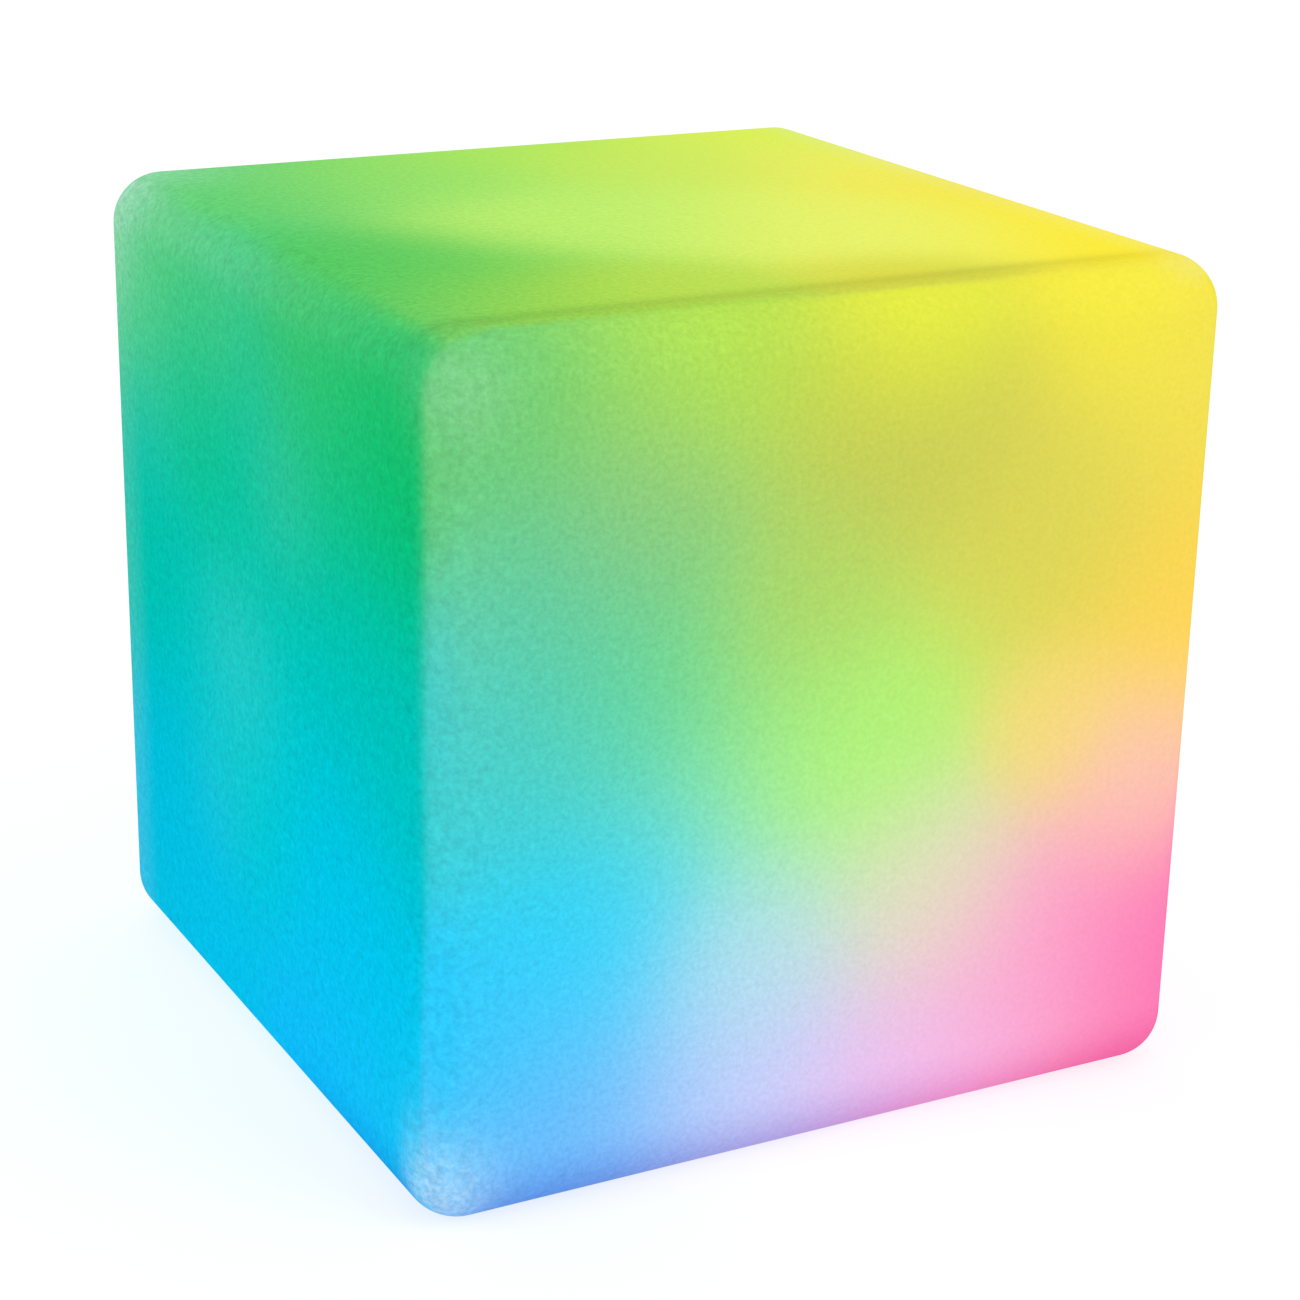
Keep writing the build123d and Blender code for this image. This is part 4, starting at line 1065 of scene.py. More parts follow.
small_screw = {
    **m3_screw,
    "Shank Radius": 1.1 * MM,
    "Length": 5 * MM,
    "Thread Depth": 0.25 * MM,
    "Pitch": 0.8 * MM,
    "Head Radius": 2.2 * MM,
    "Head Height": 1.4 * MM,
    "Count": 2,
    "Circle": 23.3 * MM,
    "Seat": 32 * MM,
    "Phase": math.pi / 2,
}
fit(pan_head_screws("flange_screws", m4_screw, steel, heads_down=True), "lamp", "steel", "mounting_screws")
fit(pan_head_screws("cover_screws", m3_screw, steel), "lamp", "steel", "lens_screws")
fit(pan_head_screws("led_plate_screws", board_screw, steel), "lamp", "steel", "led_board_screws")
fit(pan_head_screws("pack_strap_screws", small_screw, steel), "lamp", "steel", "strap_screws")


def flat_washers(sizes, material):
    graph, size = geometry_tree("flat_washers", sizes)
    outer, inner, thick = size["Outer Radius"], size["Hole Radius"], size["Thickness"]
    middle = (outer + inner) * 0.5
    points = [(middle, thick), (outer, thick), (outer, 0.0), (inner, 0.0), (inner, thick), (middle, thick)]
    radii = [0.0, 0.05 * MM, 0.25 * MM, 0.2 * MM, 0.05 * MM, 0.0]
    washer = lathe_marked(graph, turned(graph, points, radii, 3, 40))
    return grown(graph, ringed(graph, washer, size), material)


washer = {
    "Outer Radius": 4.5 * MM,
    "Hole Radius": 2.25 * MM,
    "Thickness": 0.8 * MM,
    "Count": SCREW_COUNT,
    "Circle": SCREW_CIRCLE,
    "Seat": 8.7 * MM,
}
fit(flat_washers(washer, steel), "lamp", "steel", "screw_washers")


def knurled_inserts(name, sizes, material, through=False, rows=5):
    """Brass inserts: two knurled bands, a groove between them and a threaded bore."""
    graph, size = geometry_tree(name, sizes)
    outer, length, bore, deep = size["Radius"], size["Length"], size["Bore Radius"], size["Bore Depth"]
    groove = outer * 0.88

    def up(share):
        return length * share

    points = [(bore, length) if through else (0.0, length), (groove, length)]
    points += [(outer, up(0.95)), (outer, up(0.58)), (groove, up(0.55)), (groove, up(0.45))]
    points += [(outer, up(0.42)), (outer, up(0.05)), (groove, 0.0), (bore, 0.0)]
    points += [(bore, length)] if through else [(bore, deep), (0.0, deep)]
    bore_start = 9
    turns = sizes["Bore Depth"] / sizes["Pitch"]
    cuts = [round(turns * rows) if number == bore_start else 0 for number in range(len(points))]
    cuts[2] = cuts[6] = 2
    solid = turned(graph, points, None, 3, 48, cuts)
    solid = knurled(graph, solid, outer, size["Knurl Depth"], 24.0)
    thread = -size["Thread Depth"]
    solid = threaded(graph, solid, bore, thread, size["Pitch"], 0.0, deep)
    return grown(graph, ringed(graph, lathe_marked(graph, solid), size), material)


shell_insert = {
    "Radius": 4.0 * MM,
    "Length": INSERT_LENGTH,
    "Bore Radius": 2.05 * MM,
    "Bore Depth": 10.5 * MM,
    "Knurl Depth": 0.25 * MM,
    "Thread Depth": 0.3 * MM,
    "Pitch": 0.7 * MM,
    "Count": SCREW_COUNT,
    "Circle": SCREW_CIRCLE,
    "Seat": SEAT_HEIGHT,
    "Phase": 0.0,
}
post_insert = {
    **shell_insert,
    "Radius": 2.3 * MM,
    "Length": 5.7 * MM,
    "Bore Radius": 1.55 * MM,
    "Bore Depth": 5.7 * MM,
    "Knurl Depth": 0.15 * MM,
    "Thread Depth": 0.2 * MM,
    "Pitch": 0.5 * MM,
    "Count": 4,
    "Circle": STANDOFF_CIRCLE,
    "Seat": 16.3 * MM,
    "Phase": math.pi / 4,
}
fit(knurled_inserts("seat_inserts", shell_insert, brass), "lamp", "brass", "threaded_inserts")
fit(knurled_inserts("post_inserts", post_insert, brass, through=True), "lamp", "brass", "boss_inserts")


def hex_standoffs(name, sizes, material, rows=6):
    """Hexagonal spacers with chamfered ends, a threaded stud below and a bore above."""
    graph, size = geometry_tree(name, sizes)
    flats, length, stud = size["Across Flats"], size["Length"], size["Stud Radius"]
    corner = flats / math.sqrt(3)
    edge = flats * 0.5
    slope = corner - edge
    top_edge = length - slope
    past = corner * 1.02
    points = [(0.0, length), (edge, length), (past, top_edge), (past, slope), (edge, 0.0), (0.0, 0.0)]
    rounded = turned(graph, points, None, 3, 48)
    prism = drum(graph, corner, length, 0.0, around=6)
    prism = moved(graph, prism, rotation=(0, 0, math.pi / 6))
    common = graph.add("GeometryNodeMeshBoolean", operation="INTERSECT", solver="MANIFOLD")
    graph.put(common.inputs["Mesh 2"], rounded)
    graph.put(common.inputs["Mesh 2"], prism)

    bore, floor = size["Bore Radius"], length - size["Bore Depth"]
    over = length + 0.5 * MM
    rows_in = round(sizes["Bore Depth"] / sizes["Pitch"] * rows)
    drill = drum(graph, bore, over, floor, cuts=[0, rows_in, 0, 0])
    drill = threaded(graph, drill, bore, -size["Thread Depth"], size["Pitch"], floor, over)
    low = -size["Stud Length"]
    tip = stud * 0.7
    shoulder = low + (stud - tip)
    rows_down = round(sizes["Stud Length"] / sizes["Pitch"] * rows)
    sunk = 0.6 * MM
    points = [(0.0, sunk), (stud, sunk), (stud, shoulder), (tip, low), (0.0, low)]
    peg = turned(graph, points, None, 3, 24, [0, rows_down, 0, 0, 0])
    peg = threaded(graph, peg, stud, size["Thread Depth"], size["Pitch"], shoulder, 0.0)
    solid = cut_away(graph, cut_away(graph, common.outputs[0], drill), peg, join=True)
    return grown(graph, ringed(graph, lathe_marked(graph, solid), size, facing=0.0), material)


lower_standoff = {
    "Across Flats": 5 * MM,
    "Length": 6 * MM,
    "Stud Radius": 1.5 * MM,
    "Stud Length": 5 * MM,
    "Bore Radius": 1.55 * MM,
    "Bore Depth": 4.1 * MM,
    "Thread Depth": 0.26 * MM,
    "Pitch": 0.5 * MM,
    "Count": 4,
    "Circle": STANDOFF_CIRCLE,
    "Seat": BOARD_TOP,
    "Phase": math.pi / 4,
}
upper_standoff = {
    **lower_standoff,
    "Length": 25 * MM,
    "Stud Length": 5.5 * MM,
    "Bore Depth": 6 * MM,
    "Seat": 31.2 * MM,
}
fit(hex_standoffs("board_standoffs", lower_standoff, brass), "lamp", "brass", "lower_standoffs")
fit(hex_standoffs("deck_standoffs", upper_standoff, brass), "lamp", "brass", "upper_standoffs")

# ---------------------------------------------------------------- ribs and symbol on the underside


def tapered_block(graph, size, across, deep):
    """A block whose lower end is narrower by those shares, as moulded ribs and packages are."""
    x, y, z = graph.split_xyz(here(graph))
    low = z < 0.0
    across = graph.math("MULTIPLY_ADD", low, across - 1, 1.0)
    deep = graph.math("MULTIPLY_ADD", low, deep - 1, 1.0)
    cube = graph.out("GeometryNodeMeshCube", {"Size": size}, output="Mesh")
    return put_at(graph, cube, graph.join_xyz(x * across, y * deep, z))


def flange_ribs(sizes, material):
    graph, size = geometry_tree("flange_ribs", sizes)
    box = graph.join_xyz(size["Rib Length"], size["Rib Width"], size["Rib Height"])
    return grown(graph, ringed(graph, tapered_block(graph, box, 0.95, 0.55), size), material)


def power_symbol(sizes, material):
    """The usual open ring and bar, raised in the button's dish."""
    graph, size = geometry_tree("power_symbol", sizes)
    radius, cord = size["Ring Radius"], size["Cord Radius"]
    gap = math.radians(70)
    sweep = {"Start Angle": math.pi / 2 + gap / 2, "Sweep Angle": 2 * math.pi - gap}
    arc = graph.out("GeometryNodeCurveArc", {"Resolution": 40, "Radius": radius, **sweep}, mode="RADIUS")
    start = graph.join_xyz(0.0, radius * 0.4, 0.0)
    end = graph.join_xyz(0.0, radius * 1.15, 0.0)
    bar = graph.out("GeometryNodeCurvePrimitiveLine", {"Start": start, "End": end})
    round_cord = graph.out("GeometryNodeCurvePrimitiveCircle", {"Resolution": 10, "Radius": cord})
    given = {"Curve": together(graph, arc, bar), "Profile Curve": round_cord, "Fill Caps": True}
    raised = graph.out("GeometryNodeCurveToMesh", given)
    raised = moved(graph, raised, graph.join_xyz(size["Across"], 0.0, size["Level"]))
    return grown(graph, raised, material)


def cover_grips(sizes, material):
    """Raised bars across the free end of the socket's cover."""
    graph, size = geometry_tree("cover_grips", sizes)
    points = graph.out("GeometryNodeMeshLine", {"Count": size["Count"]})
    across = graph.math("MULTIPLY_ADD", index_of(graph), size["Pitch"], size["First"])
    points = put_at(graph, points, graph.join_xyz(across, 0.0, size["Level"]))
    reach = size["Length"] * 0.5
    ends = {"Start": graph.join_xyz(0.0, -reach, 0.0), "End": graph.join_xyz(0.0, reach, 0.0)}
    line = graph.out("GeometryNodeCurvePrimitiveLine", ends)
    cord = graph.out("GeometryNodeCurvePrimitiveCircle", {"Resolution": 12, "Radius": size["Cord Radius"]})
    bar = graph.out("GeometryNodeCurveToMesh", {"Curve": line, "Profile Curve": cord, "Fill Caps": True})
    return grown(graph, copied(graph, points, bar), material)


grey_moulding = moulded("grey_moulding", colour(228, 229, 228), 0.5)
button_moulding = moulded("button_moulding", colour(150, 152, 158), 0.35, grain=2200.0, depth=0.03 * MM)
symbol_moulding = moulded("symbol_moulding", colour(235, 236, 238), 0.35, grain=2200.0, depth=0.03 * MM)
soft_cover = silicone("soft_cover", colour(88, 88, 92))
ribs = {
    "Rib Length": 8 * MM,
    "Rib Width": 0.9 * MM,
    "Rib Height": 0.6 * MM,
    "Count": 72,
    "Circle": 49 * MM,
    "Seat": PLATE_BOTTOM - 0.2 * MM,
}
symbol = {"Ring Radius": 2.2 * MM, "Cord Radius": 0.22 * MM, "Across": BUTTON_X, "Level": 8.14 * MM}
grips = {
    "Count": 4,
    "Pitch": 0.9 * MM,
    "First": 8.9 * MM,
    "Length": 7.0 * MM,
    "Cord Radius": 0.25 * MM,
    "Level": PLATE_BOTTOM + 0.03 * MM,
}
fit(flange_ribs(ribs, grey_moulding), "lamp", "housing")
fit(power_symbol(symbol, symbol_moulding), "button", "button")
fit(cover_grips(grips, soft_cover), "port_cover", "cover_rubber")


# ---------------------------------------------------------------- LEDs, cells and small parts


def toned(graph, mesh, tone):
    """Marks a mesh for a finish that has more than one stuff."""
    return graph.out("GeometryNodeStoreNamedAttribute", {"Geometry": mesh, "Name": "tone", "Value": tone})


def placed_at(graph, mesh, *places):
    return together(graph, *(moved(graph, mesh, place) for place in places))


def led_packages(name, sizes, material, dies):
    """LED packages: a notched body with a round well, a lens in it, dies and six pads."""
    graph, size = geometry_tree(name, sizes)
    width, height, well, deep = size["Width"], size["Height"], size["Well Radius"], size["Well Depth"]
    inner = width - 0.2 * MM
    body = block(graph, graph.join_xyz(inner, inner, height), graph.join_xyz(0.0, 0.0, height * 0.5))
    over, floor = height + 0.2 * MM, height - deep
    tight = well * 0.85
    cup = drum(graph, well, over, floor, tight, around=32)
    notch = block(graph, (0.9 * MM, 0.9 * MM, 0.6 * MM))
    corner = inner * 0.5
    notch = moved(graph, notch, graph.join_xyz(corner, corner, height), (0, 0, math.pi / 4))
    body = toned(graph, cut_away(graph, body, cup, notch), BODY)
    top = height - 0.12 * MM
    sunk = floor - 0.05 * MM
    lens = drum(graph, well * 0.97, top, sunk, tight, around=32)
    step = 0.75 * MM
    rows = [((number - (dies - 1) / 2) * step, 0.0) for number in range(dies)]
    die = block(graph, (0.34 * MM, 0.34 * MM, 0.2 * MM))
    chips = placed_at(graph, die, *(graph.join_xyz(x, y, top - 0.06 * MM) for x, y in rows))
    side = width * 0.5 - 0.15 * MM
    pad = block(graph, (0.3 * MM, 0.9 * MM, 0.8 * MM))
    spots = [(sign, row) for sign in (-1.0, 1.0) for row in (-1.6 * MM, 0.0, 1.6 * MM)]
    pads = placed_at(graph, pad, *(graph.join_xyz(side * sign, row, 0.4 * MM) for sign, row in spots))
    others = ((lens, LENS), (pads, METAL), (chips, DIE))
    led = together(graph, body, *(toned(graph, mesh, tone) for mesh, tone in others))
    return grown(graph, ringed(graph, led, size), material)


colour_led = {
    "Width": 5 * MM,
    "Height": 1.6 * MM,
    "Well Radius": 2 * MM,
    "Well Depth": 0.4 * MM,
    "Count": LED_COUNT,
    "Circle": COLOUR_CIRCLE,
    "Seat": LED_TOP,
}
white_led = {**colour_led, "Count": 4, "Circle": WHITE_CIRCLE}
rainbow = lit_package("colour_led_package", None)
warm_white = lit_package("white_led_package", colour(250, 222, 130))
fit(led_packages("colour_leds", colour_led, rainbow, 3), "lamp", "led", "rgb_leds")
fit(led_packages("white_light_leds", white_led, warm_white, 1), "lamp", "led", "white_leds")


def battery_pair(sizes, material):
    """Two cells, one each way round: crimped, wrapped, and with a raised cap at one end."""
    graph, size = geometry_tree("battery_pair", sizes)
    radius, length = size["Radius"], size["Length"]

    def at(share, drop):
        return radius * share, length - drop

    points = [at(0.0, 0.0), at(0.33, 0.0), at(0.38, 0.9 * MM), at(0.55, 1.0 * MM), at(0.58, 0.4 * MM)]
    points += [at(0.86, 0.4 * MM), at(0.87, 0.0), at(1.0, 0.0), at(1.0, 3.0 * MM), at(0.96, 3.6 * MM)]
    points += [at(1.0, 4.2 * MM), (radius, 0.0), (radius * 0.86, 0.0)]
    points += [(radius * 0.85, 0.15 * MM), (radius * 0.5, 0.15 * MM)]
    points += [(radius * 0.46, 0.0), (0.0, 0.0)]
    radii = [0.0, 0.15 * MM, 0.1 * MM, 0.0, 0.0, 0.0, 0.0, 0.8 * MM, 0.3 * MM, 0.5 * MM, 0.3 * MM, 0.8 * MM]
    radii += [0.0] * 5
    cell = turned(graph, points, radii, 4, 64)
    half = length * 0.5
    there = graph.join_xyz(-half, size["Spread"], size["Level"])
    back = graph.join_xyz(half, -size["Spread"], size["Level"])
    one = moved(graph, cell, there, (0, math.pi / 2, 0))
    two = moved(graph, cell, back, (0, -math.pi / 2, 0))
    return grown(graph, together(graph, one, two), material)


cells = {"Radius": CELL_RADIUS, "Length": CELL_LENGTH, "Spread": CELL_SPREAD, "Level": CELL_HEIGHT}
fit(battery_pair(cells, wrapped_cell()), "lamp", "cell", "battery_cells")


def component(name, tint, roughness=0.45):
    """Moulded package with tinned leads."""
    graph = Finish(name, roughness)
    tone = graph.out("ShaderNodeAttribute", attribute_name="tone", output="Fac")
    leads = is_tone(graph, tone, METAL)
    fine, slow = graph.noise(2600.0), graph.noise(300.0)
    base = graph.mix(leads, tint, colour(205, 205, 200))
    graph.paint(base, swing(slow, 0.2), swing(fine, 0.2))
    graph.vary_gloss(slow)
    graph.bump(fine, 0.03 * MM)
    return graph.material


def controller(sizes, material):
    """The controller's chip: a chamfered body, a dot at its first pin, and leads all round."""
    graph, size = geometry_tree("controller_package", sizes)
    width, height = size["Width"], size["Height"]
    inner = width - 0.8 * MM
    middle = graph.join_xyz(0.0, 0.0, height * 0.5)
    upside_down = tapered_block(graph, graph.join_xyz(inner, inner, height), 0.93, 0.93)
    body = moved(graph, upside_down, middle, (math.pi, 0, 0))
    mark = height - 0.08 * MM
    over = height + 0.1 * MM
    dot = drum(graph, 0.4 * MM, over, mark, around=20)
    at = inner * -0.36
    dot = moved(graph, dot, graph.join_xyz(at, at, 0.0))
    body = toned(graph, cut_away(graph, body, dot), BODY)
    lead = toned(graph, block(graph, (0.6 * MM, 0.3 * MM, 0.3 * MM)), METAL)
    points, along = spaced(graph, size["Leads Each Side"], size["Lead Pitch"])
    out = width * 0.5 - 0.3 * MM
    points = put_at(graph, points, graph.join_xyz(out, along, 0.15 * MM))
    side = copied(graph, points, lead)
    sides = [moved(graph, side, rotation=(0, 0, math.pi / 2 * number)) for number in range(4)]
    chip = moved(graph, together(graph, body, *sides), graph.join_xyz(0.0, 0.0, size["Seat"]))
    return grown(graph, chip, material)


def transistors(sizes, material):
    """A row of transistors, each with a metal tab behind and three leads in front."""
    graph, size = geometry_tree("transistor_row", sizes)
    width, depth, height = size["Width"], size["Depth"], size["Height"]
    middle = graph.join_xyz(0.0, 0.0, height * 0.5)
    box = graph.join_xyz(width, depth * 0.64, height)
    body = moved(graph, tapered_block(graph, box, 0.92, 0.86), middle, (math.pi, 0, 0))
    out = depth * 0.38
    tab = block(graph, graph.join_xyz(width * 0.42, depth * 0.24, 0.3 * MM))
    tab = placed_at(graph, tab, graph.join_xyz(0.0, out, 0.15 * MM))
    lead = block(graph, graph.join_xyz(0.5 * MM, depth * 0.24, 0.3 * MM))
    front = -out
    leads = placed_at(graph, lead, *(graph.join_xyz(x * MM, front, 0.15 * MM) for x in (-1.5, 0.0, 1.5)))
    one = together(graph, toned(graph, body, BODY), toned(graph, tab, METAL), toned(graph, leads, METAL))
    points, along = spaced(graph, size["Count"], size["Pitch"])
    points = put_at(graph, points, graph.join_xyz(along, size["Row"], size["Seat"]))
    return grown(graph, copied(graph, points, one), material)


def can_capacitors(sizes, material):
    """Two drawn cans with a rolled neck and a crossed vent in their tops."""
    graph, size = geometry_tree("can_capacitors", sizes)
    radius, height = size["Radius"], size["Height"]
    neck = radius * 0.93
    points = [(0.0, height), (radius, height), (radius, 1.3 * MM), (neck, 1.0 * MM), (radius, 0.7 * MM)]
    points += [(radius, 0.0), (0.0, 0.0)]
    can = turned(graph, points, [0.0, 0.4 * MM, 0.2 * MM, 0.2 * MM, 0.2 * MM, 0.1 * MM, 0.0], 4, 48)
    bar = block(graph, graph.join_xyz(radius * 1.1, 0.2 * MM, 0.16 * MM), graph.join_xyz(0.0, 0.0, height))
    crossing = moved(graph, bar, rotation=(0, 0, math.pi / 2))
    can = lathe_marked(graph, cut_away(graph, can, bar, crossing))
    apart = (size["Spread"], -size["Spread"])
    places = [graph.join_xyz(across, size["Row"], size["Seat"]) for across in apart]
    return grown(graph, placed_at(graph, can, *places), material)


def at_random(graph, share, seed):
    """True for that share of the points."""
    given = {"Probability": share, "Seed": seed}
    return graph.out("FunctionNodeRandomValue", given, output=3, data_type="BOOLEAN")


def chip_resistors(sizes, material):
    """Small surface-mounted parts: a grid either side of the controller, thinned at random."""
    graph, size = geometry_tree("chip_resistors", sizes)
    body = toned(graph, block(graph, (1.1 * MM, 0.8 * MM, 0.45 * MM)), BODY)
    end = toned(graph, block(graph, (0.28 * MM, 0.82 * MM, 0.47 * MM)), METAL)
    ends = placed_at(graph, end, (-0.62 * MM, 0, 0), (0.62 * MM, 0, 0))
    part = together(graph, body, ends)
    reach = {"Size X": size["Width"], "Size Y": size["Depth"]}
    given = {**reach, "Vertices X": size["Columns"], "Vertices Y": size["Rows"]}
    grid = graph.out("GeometryNodeMeshGrid", given, output="Mesh")
    apart = (size["Spread"], -size["Spread"])
    points = placed_at(graph, grid, *(graph.join_xyz(across, 0.0, size["Level"]) for across in apart))
    kept = at_random(graph, size["Share"], size["Seed"])
    quarter = at_random(graph, 0.5, size["Seed"] + 1)
    angle = graph.join_xyz(0.0, 0.0, quarter * (math.pi / 2))
    rotation = graph.out("FunctionNodeEulerToRotation", {0: angle})
    return grown(graph, copied(graph, points, part, Selection=kept, Rotation=rotation), material)


package = component("black_package", colour(52, 52, 55))
chip = {
    "Width": 7 * MM,
    "Height": 1.2 * MM,
    "Lead Pitch": 0.65 * MM,
    "Leads Each Side": 8,
    "Seat": BOARD_TOP,
}
transistor = {
    "Width": 4.5 * MM,
    "Depth": 2.5 * MM,
    "Height": 1.5 * MM,
    "Count": 4,
    "Pitch": 8 * MM,
    "Row": -12 * MM,
    "Seat": BOARD_TOP,
}
capacitor = {"Radius": 2.5 * MM, "Height": 5.2 * MM, "Spread": 9 * MM, "Row": 12 * MM, "Seat": BOARD_TOP}
resistors = {
    "Width": 14 * MM,
    "Depth": 26 * MM,
    "Columns": 5,
    "Rows": 9,
    "Spread": 23.5 * MM,
    "Level": BOARD_TOP + 0.22 * MM,
    "Share": 0.62,
    "Seed": 7,
}
drawn_can = turned_metal("drawn_can", colour(215, 215, 216), 0.35)
fit(controller(chip, package), "lamp", "black_plastic", "controller_chip")
fit(transistors(transistor, package), "lamp", "black_plastic", "driver_transistors")
fit(can_capacitors(capacitor, drawn_can), "lamp", "capacitor", "board_capacitors")
fit(chip_resistors(resistors, package), "lamp", "black_plastic")


# ---------------------------------------------------------------- moulded parts with soft edges


SAME_PLACE = 0.001 * MM
FLAT_ANGLE = math.radians(0.5)
ROUNDED_ANGLE = math.radians(28)  # edges sharper than this are rounded
CREASE_ANGLE = math.radians(40)  # and after that, edges sharper than this shade as creases


def softened(name, node, width, material):
    """A merged copy of a CAD part, with its sharp edges rounded as a mould leaves them."""
    work = bmesh.new()
    work.from_mesh(cad[node].data)
    bmesh.ops.remove_doubles(work, verts=work.verts, dist=SAME_PLACE)
    bmesh.ops.dissolve_limit(work, angle_limit=FLAT_ANGLE, verts=work.verts, edges=work.edges)
    edges = [e for e in work.edges if len(e.link_faces) == 2 and e.calc_face_angle() > ROUNDED_ANGLE]
    rounding = {"offset": width, "segments": 2, "profile": 0.5, "clamp_overlap": True}
    bmesh.ops.bevel(work, geom=edges, affect="EDGES", **rounding)
    bmesh.ops.remove_doubles(work, verts=work.verts, dist=SAME_PLACE / 2)
    for face in work.faces:
        face.smooth = True
    for edge in work.edges:
        edge.smooth = len(edge.link_faces) == 2 and edge.calc_face_angle() < CREASE_ANGLE
    mesh = bpy.data.meshes.new(name)
    work.to_mesh(mesh)
    work.free()
    mesh.materials.append(material)
    return in_scene(name, mesh)


nylon = moulded("connector_nylon", colour(238, 234, 224), 0.35)
SOFTENED = [
    ("socket_flap", "port_cover", 0.3, soft_cover, "port_cover", "cover_rubber"),
    ("flap_anchor", "port_cover_anchor", 0.25, soft_cover, "lamp", "cover_rubber"),
    ("light_module_cup", "module_housing", 0.3, grey_moulding, "lamp", "housing"),
    ("press_button", "power_button", 0.2, button_moulding, "button", "button"),
    ("switch_body", "push_switch", 0.2, black_moulding, "lamp", "black_plastic"),
    ("socket_body", "charging_socket", 0.15, black_moulding, "lamp", "black_plastic"),
    ("pack_cradle", "battery_cradle", 0.25, black_moulding, "lamp", "black_plastic"),
    ("pack_strap", "battery_strap", 0.2, black_moulding, "lamp", "black_plastic"),
    ("pack_header", "battery_header", 0.12, nylon, "lamp", "connector"),
    ("pack_plug", "battery_plug", 0.12, nylon, "lamp", "connector"),
    ("lead_header", "led_header", 0.12, nylon, "lamp", "connector"),
    ("lead_plug", "led_plug", 0.12, nylon, "lamp", "connector"),
    ("choke", "charge_inductor", 0.25, pressed_ferrite(), "lamp", "ferrite"),
    ("remote_receiver", "ir_receiver", 0.12, black_moulding, "lamp", "black_plastic"),
    ("lens_dome", "lens_cover", 0.25, clear_polycarbonate("clear_lens"), "lamp", "clear"),
]
for name, node, width, material, body, slot in SOFTENED:
    fit(softened(name, node, width * MM, material), body, slot, node)


# ---------------------------------------------------------------- CAD parts that keep their shape


def dress(material, *nodes):
    for node in nodes:
        for slot in cad[node].material_slots:
            slot.material = material


WELDS = [
    (x * MM, sign * CELL_SPREAD + aside * MM, CELL_HEIGHT)
    for x in (-32.9, 32.7)
    for sign in (-1, 1)
    for aside in (-1.5, 1.5)
]
seal_rubber = silicone("seal_rubber", colour(70, 70, 70), 0.65)
dress(seal_rubber, "flange_gasket", "button_oring", "socket_seal", "lens_oring")
dress(brushed_metal("plated_pin", colour(222, 222, 224), 0.15, (1, 1, 0.05)), "socket_pin")
dress(brushed_metal("nickel_strip", colour(212, 210, 205), 0.3, (1, 0.03, 1), WELDS), "battery_tabs")
dress(clear_polycarbonate("light_pipe_plastic", tip_glow=0.6), "indicator_light_pipe")
dress(lit_package("indicator_package", colour(90, 235, 130)), "indicator_led")
green_mask = (colour(52, 118, 72), colour(74, 146, 92), colour(172, 176, 122))
white_mask = (colour(240, 240, 238), colour(226, 226, 222), colour(198, 199, 198))
dress(printed_board("green_board", *green_mask, 22.0 * MM, BOARD_TOP), "control_board")
standing_board = printed_board("standing_green_board", *green_mask, 32.7 * MM, 33.9 * MM, standing=True)
dress(standing_board, "protection_board")
dress(printed_board("white_led_board", *white_mask, 56.2 * MM, LED_TOP), "led_board")
dress(shrink_film("blue_shrink_film", colour(84, 130, 190), 0.25 * MM), "battery_sleeve")
dress(moulded("white_reflector", colour(244, 244, 243), 0.6), "reflector_sheet")
dress(insulation("red_insulation", colour(214, 48, 48)), "battery_wire_red")
dress(insulation("black_insulation", colour(48, 48, 48)), "battery_wire_black")
dress(insulation("pale_insulation", colour(236, 236, 236)), "led_lead")
dress(black_moulding, "switch_plunger")

# ---------------------------------------------------------------- stage, lamps and camera

WHITE = (1, 1, 1, 1)
FLOOR_GREY = (0.4, 0.4, 0.4, 1)
FLOOR_REACH = 6.0
FLOOR_DROP = 0.2 * MM
ROOM_LIGHT, ROOM_SEEN = 0.6, 0.4  # the room's light, and what is added where it is seen
MIDDLE = (0, 0, 0.2)
LAMP_WIDTH = 1.6
LAMPS = [("key", (0.9, -1.7, 1.7), 12), ("fill", (-1.8, -0.5, 1.1), 5), ("back", (0.2, 1.6, 1.6), 6)]
FOCAL_LENGTH = 83.08  # mm, on a 36 mm sensor
VIEW_TURN, VIEW_LIFT, VIEW_ROLL = (math.radians(angle) for angle in (-28.21, 19.55, 1.18))
VIEW_TARGET = Vector((0.00482, -0.00978, 0.18215))
VIEW_DISTANCE = 1.4833


def sees_background(graph):
    """1 for rays that show the background: from the camera, or by way of gloss or glass."""
    rays = graph.add("ShaderNodeLightPath").outputs
    either = graph.math("MAXIMUM", rays["Is Camera Ray"], rays["Is Glossy Ray"])
    return graph.math("MAXIMUM", either, rays["Is Transmission Ray"])


world = bpy.data.worlds.new("studio")
bpy.context.scene.world = world
world.use_nodes = True
studio = Graph(world.node_tree)
sky = world.node_tree.nodes["Background"]
room = studio.math("MULTIPLY_ADD", sees_background(studio), ROOM_SEEN, ROOM_LIGHT)
studio.put_all((sky.inputs["Color"], sky.inputs["Strength"]), (WHITE, room))


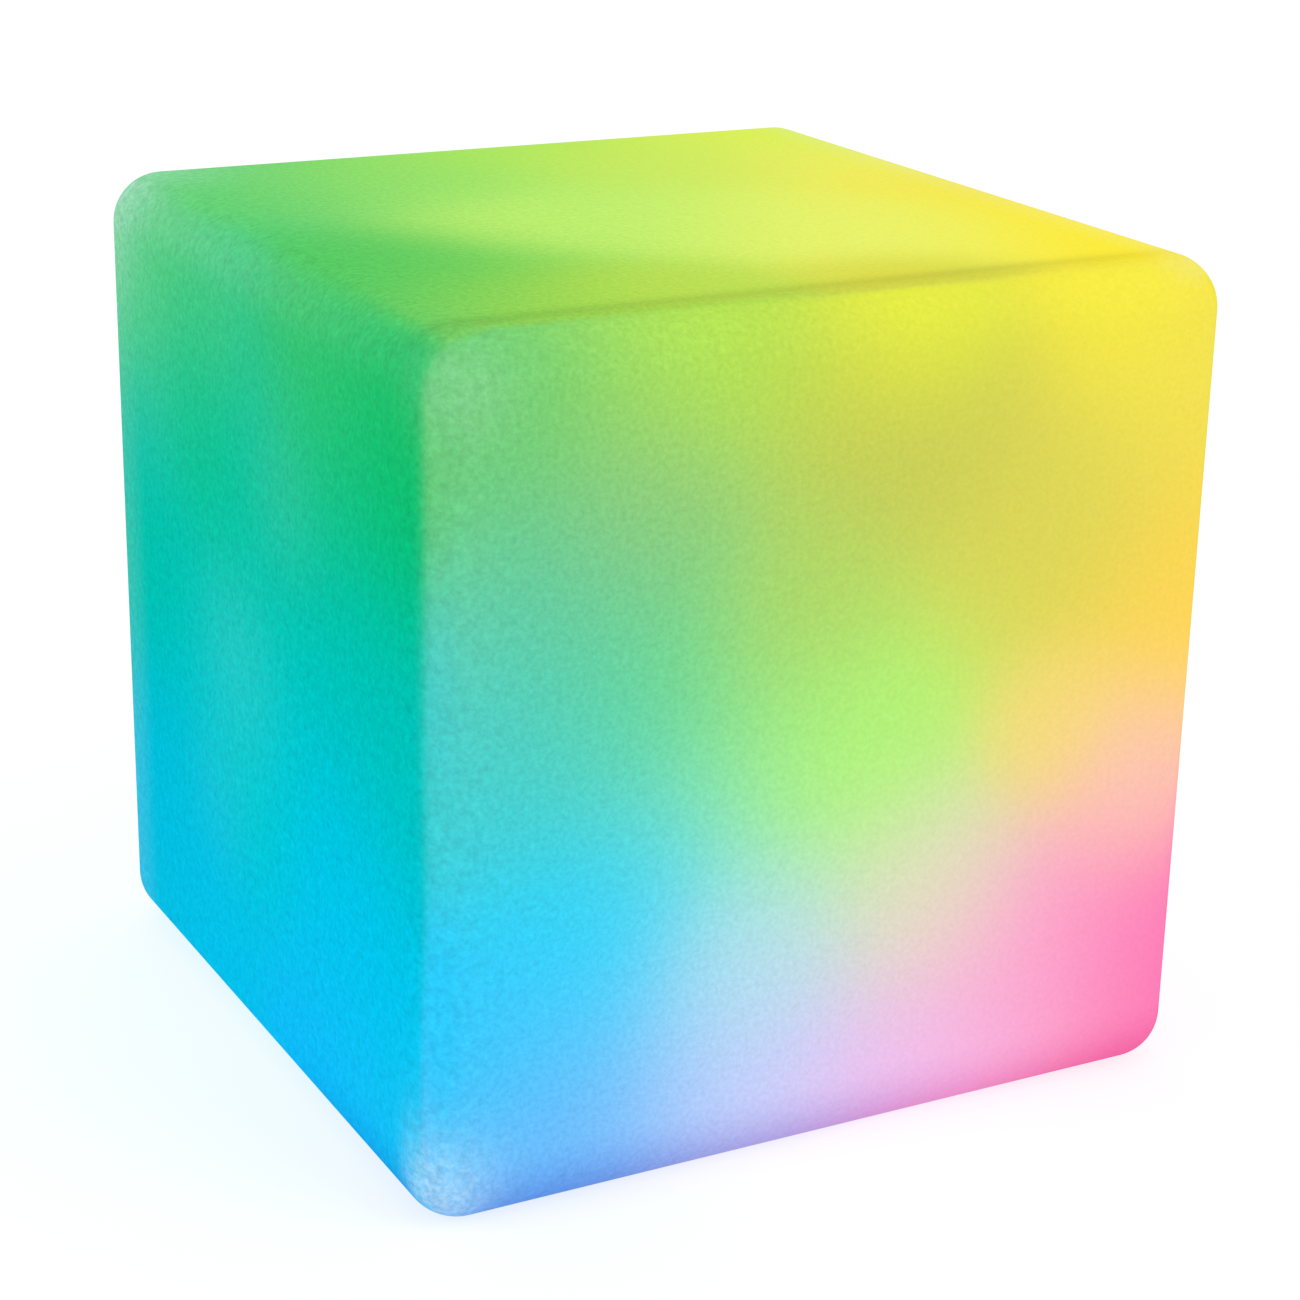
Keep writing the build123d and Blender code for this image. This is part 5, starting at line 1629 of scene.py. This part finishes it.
def floor_paint():
    """Pale floor that keeps the shadow, lifted towards white, and clear from below."""
    graph = Finish("pale_floor", 0.9, specular=0.0)
    graph.give("Base Color", FLOOR_GREY)
    graph.give("Emission Color", WHITE)
    lift = graph.step(graph.vector("LENGTH", graph.place), 0.9, 4.0, 0.72, 0.80)
    graph.give("Emission Strength", lift * sees_background(graph))
    below = graph.out("ShaderNodeNewGeometry", output="Backfacing")
    given = {0: below, 1: graph.shader.outputs[0], 2: graph.out("ShaderNodeBsdfTransparent")}
    mixed = graph.out("ShaderNodeMixShader", given)
    graph.put(graph.tree.nodes["Material Output"].inputs["Surface"], mixed)
    return graph.material


floor_mesh = bpy.data.meshes.new("floor")
corners = [(x * FLOOR_REACH, y * FLOOR_REACH, 0) for x, y in ((-1, -1), (1, -1), (1, 1), (-1, 1))]
floor_mesh.from_pydata(corners, [], [(0, 1, 2, 3)])
floor_mesh.materials.append(floor_paint())
floor = in_scene("floor", floor_mesh)
floor.location.z = -FLOOR_DROP
floor.visible_diffuse = False

for name, place, watts in LAMPS:
    light = bpy.data.lights.new(name, "AREA")
    light.shape = "DISK"
    light.size = LAMP_WIDTH
    light.energy = watts
    lamp = in_scene(name, light)
    lamp.location = place
    lamp.rotation_euler = (Vector(MIDDLE) - Vector(place)).to_track_quat("-Z", "Y").to_euler()

camera_data = bpy.data.cameras.new("camera")
camera_data.sensor_width = 36
camera_data.lens = FOCAL_LENGTH
camera = in_scene("camera", camera_data)
bpy.context.scene.camera = camera
level = math.cos(VIEW_LIFT)
back = Vector((math.sin(VIEW_TURN) * level, -math.cos(VIEW_TURN) * level, math.sin(VIEW_LIFT)))
right = (-back).cross(Vector((0, 0, 1))).normalized()
up = right.cross(-back)
cosine, sine = math.cos(VIEW_ROLL), math.sin(VIEW_ROLL)
axes = Matrix((cosine * right + sine * up, cosine * up - sine * right, back)).transposed()
camera.matrix_world = Matrix.Translation(VIEW_TARGET + back * VIEW_DISTANCE) @ axes.to_4x4()

bpy.context.scene.view_settings.view_transform = "Standard"
